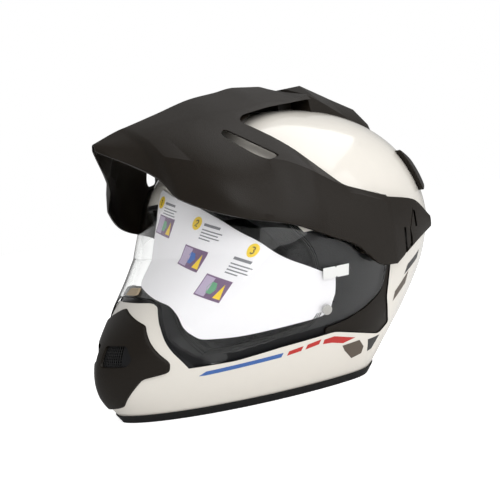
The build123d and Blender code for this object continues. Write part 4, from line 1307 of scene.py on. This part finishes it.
def cheek_point(row, column, fullness):
    """A point of the left cheek pad: up it, along it, and how far in from the foam."""
    y = CHEEK_FRONT + CHEEK_LENGTH * column
    z = CHEEK_MIDDLE + (CHEEK_HEIGHT * row - CHEEK_HEIGHT / 2) * (1 - 0.14 * (2 * column - 1) ** 4)
    outer = side_x(y, z, -PAD_GAP, True)
    reach = 19.0 if z < CHEEK_THICKEST_Z else 50.0
    inner = CHEEK_INNER_X + 9.0 * (2 * column - 1) ** 2 + 7.0 * (abs(z - CHEEK_THICKEST_Z) / reach) ** 1.5
    return Vector((outer + (inner - outer) * fullness, y, z))


def neck_point(row, column, fullness):
    """A point of the neck roll: up it, round it, and how far in from the foam."""
    angle = math.radians(NECK_ROUND * column - NECK_ROUND / 2)
    z = NECK_LOW + NECK_HEIGHT * row
    outer = Vector(round_point(angle, z, -PAD_GAP, True))
    return outer.lerp(Vector(round_point(angle, z, -NECK_DEPTH, True)), fullness)


# Each padded piece: point function, rows, columns, seams up it and along it, whether it goes all round, node
PADS = (
    ("pad_crown", crown_point, 18, 96, (0.38, 0.72), (0.16, 0.34, 0.5, 0.66, 0.84), True, "crown_pad"),
    ("pad_cheek_left", cheek_point, 22, 26, (), (0.36,), False, "cheek_pad_left"),
    ("pad_neck", neck_point, 12, 72, (), (0.2, 0.4, 0.6, 0.8), False, "neck_roll"),
)
STRAPS = (
    (
        "strap_left",
        ((64.2, 84), (64.2, 42), (50, 17.6), (26, 14.0), (10, 14),
         (6, 14), (6, 6), (10, 6), (22, 8.0), (30, 10.4)),
        "chin_strap_left",
    ),
    ("strap_right", ((-64.2, 84), (-64.2, 42), (-50, 16.5), (-10, 8.2)), "chin_strap_right"),
)
STRAP_Y, STRAP_HALF_WIDTH, STRAP_THICKNESS = -51.3, 10.8, 1.6
# The ring's bar, as x and z, and half its length; its rod's radius; its bow's reach and half length
RING_X, RING_Z, RING_BAR_HALF, RING_ROD = 10, 10, 16, 2.0
RING_REACH, RING_BOW_HALF = 15.5, 17
# A pad's least fullness, and its stitches: how far in they lie, pitch, length and thread radius
PAD_LEAST = 0.16
STITCH_IN, STITCH_PITCH, STITCH_LENGTH, THREAD_RADIUS = 0.2, 4.2, 3.0, 0.28
# Chin curtain: its open edge's line and top, the rim's height and offset there, the open edge's
# half width and depth, its sag and its thickness
CURTAIN_EDGE_Y, CURTAIN_TOP = -95.3, 6.9
CURTAIN_RIM_Z, CURTAIN_RIM_IN = 6.0, -6.6
CURTAIN_HALF, CURTAIN_BOW, CURTAIN_SAG, CURTAIN_THICKNESS = 42, 24, 0.8, 0.9


class HELMET_OT_pads(bpy.types.Operator):
    """Makes the sewn lining pads with their stitches, and the chin curtain"""

    bl_idname = "helmet.pads"
    bl_label = "Lining pads"

    def execute(self, context):
        stitches = []
        for name, point, rows, columns, up, along, closed, node in PADS:
            outer, inner = [], []
            for i in range(rows + 1):
                row = i / rows
                steps = columns if closed else columns + 1
                shares = [k / columns for k in range(steps)]
                swell = [puff(row, up, 0.38) * puff(k, along, 0.3) for k in shares]
                full = [PAD_LEAST + (1 - PAD_LEAST) * part for part in swell]
                outer.append([tuple(point(row, k, 0.0)) for k in shares])
                inner.append([tuple(point(row, k, f)) for k, f in zip(shares, full)])
            pad = cushion(name, outer, inner, closed, closed)
            subdivide(pad)
            smooth(pad, 80)
            stitches += [[tuple(point(k / 60, seam, STITCH_IN)) for k in range(2, 58)] for seam in along]
            stitches += [[tuple(point(seam, k / 200, STITCH_IN)) for k in range(200)] for seam in up]
            if name == "pad_cheek_left":
                other = flip_x(pad, "pad_cheek_right")
                smooth(other, 80)
                carried("pad_cheek_right", "helmet", "lining", "cheek_pad_right")
                stitches += [[(-x, y, z) for x, y, z in stitches[-1]]]
            carried(name, "helmet", "lining", node)
        patterned(
            lines("lining_stitches", stitches), stitch_tree(),
            Pitch=STITCH_PITCH * MM, Length=STITCH_LENGTH * MM,
            Radius=THREAD_RADIUS * MM, Finish=FINISHES["thread"],
        )
        carried("lining_stitches", "helmet", "lining", finishes=("thread",))
        self.curtain()
        return {"FINISHED"}

    def curtain(self):
        """The thin cloth under the chin, from the rim to its open edge."""
        rim_x = side_x(CURTAIN_EDGE_Y, CURTAIN_RIM_Z, CURTAIN_RIM_IN)
        across, rows = 60, 10
        upper = []
        for i in range(rows + 1):
            t = i / rows
            line = []
            for k in range(across + 1):
                share = 2 * k / across - 1
                x = rim_x * share
                rim = Vector((x, min(front_y(x, CURTAIN_RIM_Z, CURTAIN_RIM_IN), CURTAIN_EDGE_Y), 0))
                turn = math.pi / 2 * share
                inner = Vector((CURTAIN_HALF * math.sin(turn), CURTAIN_EDGE_Y - CURTAIN_BOW * math.cos(turn), 0))
                point = rim.lerp(inner, t)
                sag = CURTAIN_SAG * math.sin(math.pi * t) * (1 - share**2)
                line.append((point.x, point.y, CURTAIN_TOP - sag))
            upper.append(line)
        lower = [[(x, y, z - CURTAIN_THICKNESS) for x, y, z in line] for line in upper]
        cloth = cushion("curtain_cloth", upper, lower)
        smooth(cloth, 60)
        carried("curtain_cloth", "helmet", "lining", "chin_curtain")


class HELMET_OT_straps(bpy.types.Operator):
    """Makes the chin strap's webbing and its ring"""

    bl_idname = "helmet.straps"
    bl_label = "Chin strap"

    def execute(self, context):
        for name, path, node in STRAPS:
            smooth(webbing_band(name, path, STRAP_Y, STRAP_HALF_WIDTH, STRAP_THICKNESS), 50)
            carried(name, "helmet", "webbing", node)
        ring_path = [(RING_X, STRAP_Y + along, RING_Z) for along in (-RING_BAR_HALF, 0, RING_BAR_HALF)]
        for k in range(1, 16):
            angle = math.pi * k / 16
            bow_x = RING_X - RING_REACH * math.sin(angle) ** 0.8
            ring_path.append((bow_x, STRAP_Y + RING_BOW_HALF * math.cos(angle), RING_Z))
        smooth(rod_ring("d_ring", ring_path, RING_ROD), 60)
        carried("d_ring", "ring", "steel", "strap_ring")
        return {"FINISHED"}


# Solids whose shape is right, kept with their edges broken: node, name, body, slot, edge in mm
SMALL_PARTS = (
    ("strap_anchors", "anchors", "helmet", "steel", 0.5),
    ("pivot_plate_left", "plate_left", "helmet", "black_plastic", 0.4),
    ("pivot_plate_right", "plate_right", "helmet", "black_plastic", 0.4),
    ("pivot_cap_left", "cap_left", "helmet", "black_plastic", 0.45),
    ("pivot_cap_right", "cap_right", "helmet", "black_plastic", 0.45),
    ("peak_bracket", "bracket", "helmet", "black_plastic", 0.5),
    ("top_vent", "vent_top", "helmet", "black_plastic", 0.8),
    ("top_vent_slider", "vent_slider_knob", "vent_slider", "black_plastic", 0.6),
    ("breath_guard", "guard_breath", "helmet", "black_rubber", 0.4),
    ("chin_vent_shutter", "shutter", "vent_shutter", "black_plastic", 0.4),
)


class HELMET_OT_small_parts(bpy.types.Operator):
    """Makes the small rigid parts with broken edges"""

    bl_idname = "helmet.small_parts"
    bl_label = "Small parts"

    def execute(self, context):
        for node, name, body, slot, edge in SMALL_PARTS:
            smooth(bevel(node_copy(node, name), edge, 35, 3), 35)
            carried(name, body, slot, node)
        return {"FINISHED"}


class HELMET_OT_nodes(bpy.types.Operator):
    """Gives every solid that still shows its finish"""

    bl_idname = "helmet.nodes"
    bl_label = "Solids"

    def execute(self, context):
        slots = {row["node"]: row["material_slot"] for row in frame["record"]["subparts"]}
        for name, obj in frame["nodes"].items():
            if not obj.hide_render:
                obj.data.materials.clear()
                obj.data.materials.append(FINISHES[slots[name]])
        return {"FINISHED"}


# Photograph's view: the camera looks at a point from a bearing, a height and a distance.
VIEW_BEARING = 56.0
VIEW_HEIGHT = 4.0
VIEW_ROLL = -8.5
VIEW_DISTANCE = 650.0
VIEW_TARGET = (-8.8, -20.0, 118.0)
VIEW_FOCAL_PX = 690.0
PICTURE_PX = 500.0
# How bright floor and world are to the camera and through the clear shield, and the world as a light
FLOOR_GLOW, WORLD_SEEN, WORLD_LIGHT = 0.75, 1.0, 0.38
# Lamps: place in m, and power as a share of the key light's; their width and what they point at
LAMPS = (
    ("key", (1.7, -0.75, 1.1), 1.0),
    ("fill", (1.8, 0.9, 0.7), 0.5),
    ("top", (0.3, 0.7, 1.8), 0.6),
)
LAMP_SIZE = 1.6
LAMP_AIM = (0, 0, 0.13)


class HELMET_OT_stage(bpy.types.Operator):
    """Makes the floor, lights and camera"""

    bl_idname = "helmet.stage"
    bl_label = "Stage"

    def execute(self, context):
        scene = context.scene
        sizes = scene.helmet_stage
        bm = bmesh.new()
        bmesh.ops.create_grid(bm, x_segments=1, y_segments=1, size=sizes.floor_half)
        floor = new_object("floor", bm)
        floor.data.materials.append(self.backdrop())
        self.world(scene)
        for name, place, share in LAMPS:
            data = bpy.data.lights.new(name, "AREA")
            data.energy, data.size = sizes.key_power * share, LAMP_SIZE
            lamp = bpy.data.objects.new(name, data)
            lamp.location = place
            lamp.rotation_euler = (Vector(LAMP_AIM) - Vector(place)).to_track_quat("-Z", "Y").to_euler()
            scene.collection.objects.link(lamp)
        self.camera(scene)
        scene.view_settings.view_transform = "Standard"
        return {"FINISHED"}

    def backdrop(self):
        material = bpy.data.materials.new("floor_white")
        material.use_nodes = True
        nodes, links = material.node_tree.nodes, material.node_tree.links
        shader = nodes["Principled BSDF"]
        shader.inputs["Base Color"].default_value = (0.9, 0.9, 0.9, 1)
        shader.inputs["Roughness"].default_value = 0.9
        shader.inputs["Emission Color"].default_value = (1, 1, 1, 1)
        path = nodes.new("ShaderNodeLightPath")
        add = nodes.new("ShaderNodeMath")
        add.operation = "MAXIMUM"
        scale = nodes.new("ShaderNodeMath")
        scale.operation = "MULTIPLY"
        scale.inputs[1].default_value = FLOOR_GLOW
        links.new(path.outputs["Is Camera Ray"], add.inputs[0])
        links.new(path.outputs["Is Transmission Ray"], add.inputs[1])
        links.new(add.outputs[0], scale.inputs[0])
        links.new(scale.outputs[0], shader.inputs["Emission Strength"])
        return material

    def world(self, scene):
        world = bpy.data.worlds.new("studio")
        scene.world = world
        world.use_nodes = True
        nodes, links = world.node_tree.nodes, world.node_tree.links
        back = nodes["Background"]
        back.inputs["Color"].default_value = (1, 1, 1, 1)
        path = nodes.new("ShaderNodeLightPath")
        strength = nodes.new("ShaderNodeMapRange")
        strength.inputs["To Min"].default_value = WORLD_LIGHT
        strength.inputs["To Max"].default_value = WORLD_SEEN
        most = nodes.new("ShaderNodeMath")
        most.operation = "MAXIMUM"
        links.new(path.outputs["Is Camera Ray"], most.inputs[0])
        links.new(path.outputs["Is Transmission Ray"], most.inputs[1])
        links.new(most.outputs[0], strength.inputs["Value"])
        links.new(strength.outputs["Result"], back.inputs["Strength"])

    def camera(self, scene):
        bearing, height, roll = (math.radians(a) for a in (VIEW_BEARING, VIEW_HEIGHT, VIEW_ROLL))
        level_back = Vector((math.sin(bearing), -math.cos(bearing), 0))
        back = level_back * math.cos(height) + Vector((0, 0, math.sin(height)))
        right = Vector((math.cos(bearing), math.sin(bearing), 0))
        up = back.cross(right)
        turned_right = right * math.cos(roll) + up * math.sin(roll)
        turned_up = up * math.cos(roll) - right * math.sin(roll)
        target = Vector(VIEW_TARGET) + Vector((0, OUTLINE_ZERO_Y, 0))
        data = bpy.data.cameras.new("photo_view")
        data.sensor_width = 36.0
        data.lens = data.sensor_width * VIEW_FOCAL_PX / PICTURE_PX
        data.clip_start = 0.01
        camera = bpy.data.objects.new("photo_view", data)
        matrix = Matrix((turned_right, turned_up, back)).transposed().to_4x4()
        matrix.translation = (target + back * VIEW_DISTANCE) * MM
        camera.matrix_world = matrix
        scene.collection.objects.link(camera)
        scene.camera = camera


class HELMET_PT_parts(bpy.types.Panel):
    """Lists the steps that dress the helmet"""

    bl_label = "Helmet"
    bl_idname = "HELMET_PT_parts"
    bl_space_type = "VIEW_3D"
    bl_region_type = "UI"
    bl_category = "Helmet"

    def draw(self, context):
        for group in (context.scene.helmet_look, context.scene.helmet_stage):
            for key in group.__annotations__:
                self.layout.prop(group, key)
        for step in STEPS:
            self.layout.operator(step.bl_idname)


GROUPS = (HelmetLook, HelmetStage)
STEPS = (
    HELMET_OT_shell,
    HELMET_OT_rim,
    HELMET_OT_port_seal,
    HELMET_OT_shield,
    HELMET_OT_card,
    HELMET_OT_side_panels,
    HELMET_OT_peak,
    HELMET_OT_vents,
    HELMET_OT_decals,
    HELMET_OT_pads,
    HELMET_OT_straps,
    HELMET_OT_small_parts,
    HELMET_OT_nodes,
    HELMET_OT_stage,
)


def register():
    for item in (*GROUPS, *STEPS, HELMET_PT_parts):
        bpy.utils.register_class(item)
    bpy.types.Scene.helmet_look = PointerProperty(type=HelmetLook)
    bpy.types.Scene.helmet_stage = PointerProperty(type=HelmetStage)


def unregister():
    del bpy.types.Scene.helmet_stage
    del bpy.types.Scene.helmet_look
    for item in reversed((*GROUPS, *STEPS, HELMET_PT_parts)):
        bpy.utils.unregister_class(item)


def main():
    register()
    make_finishes()
    for step in STEPS:
        group, name = step.bl_idname.split(".")
        getattr(getattr(bpy.ops, group), name)()


if __name__ == "__main__":
    main()
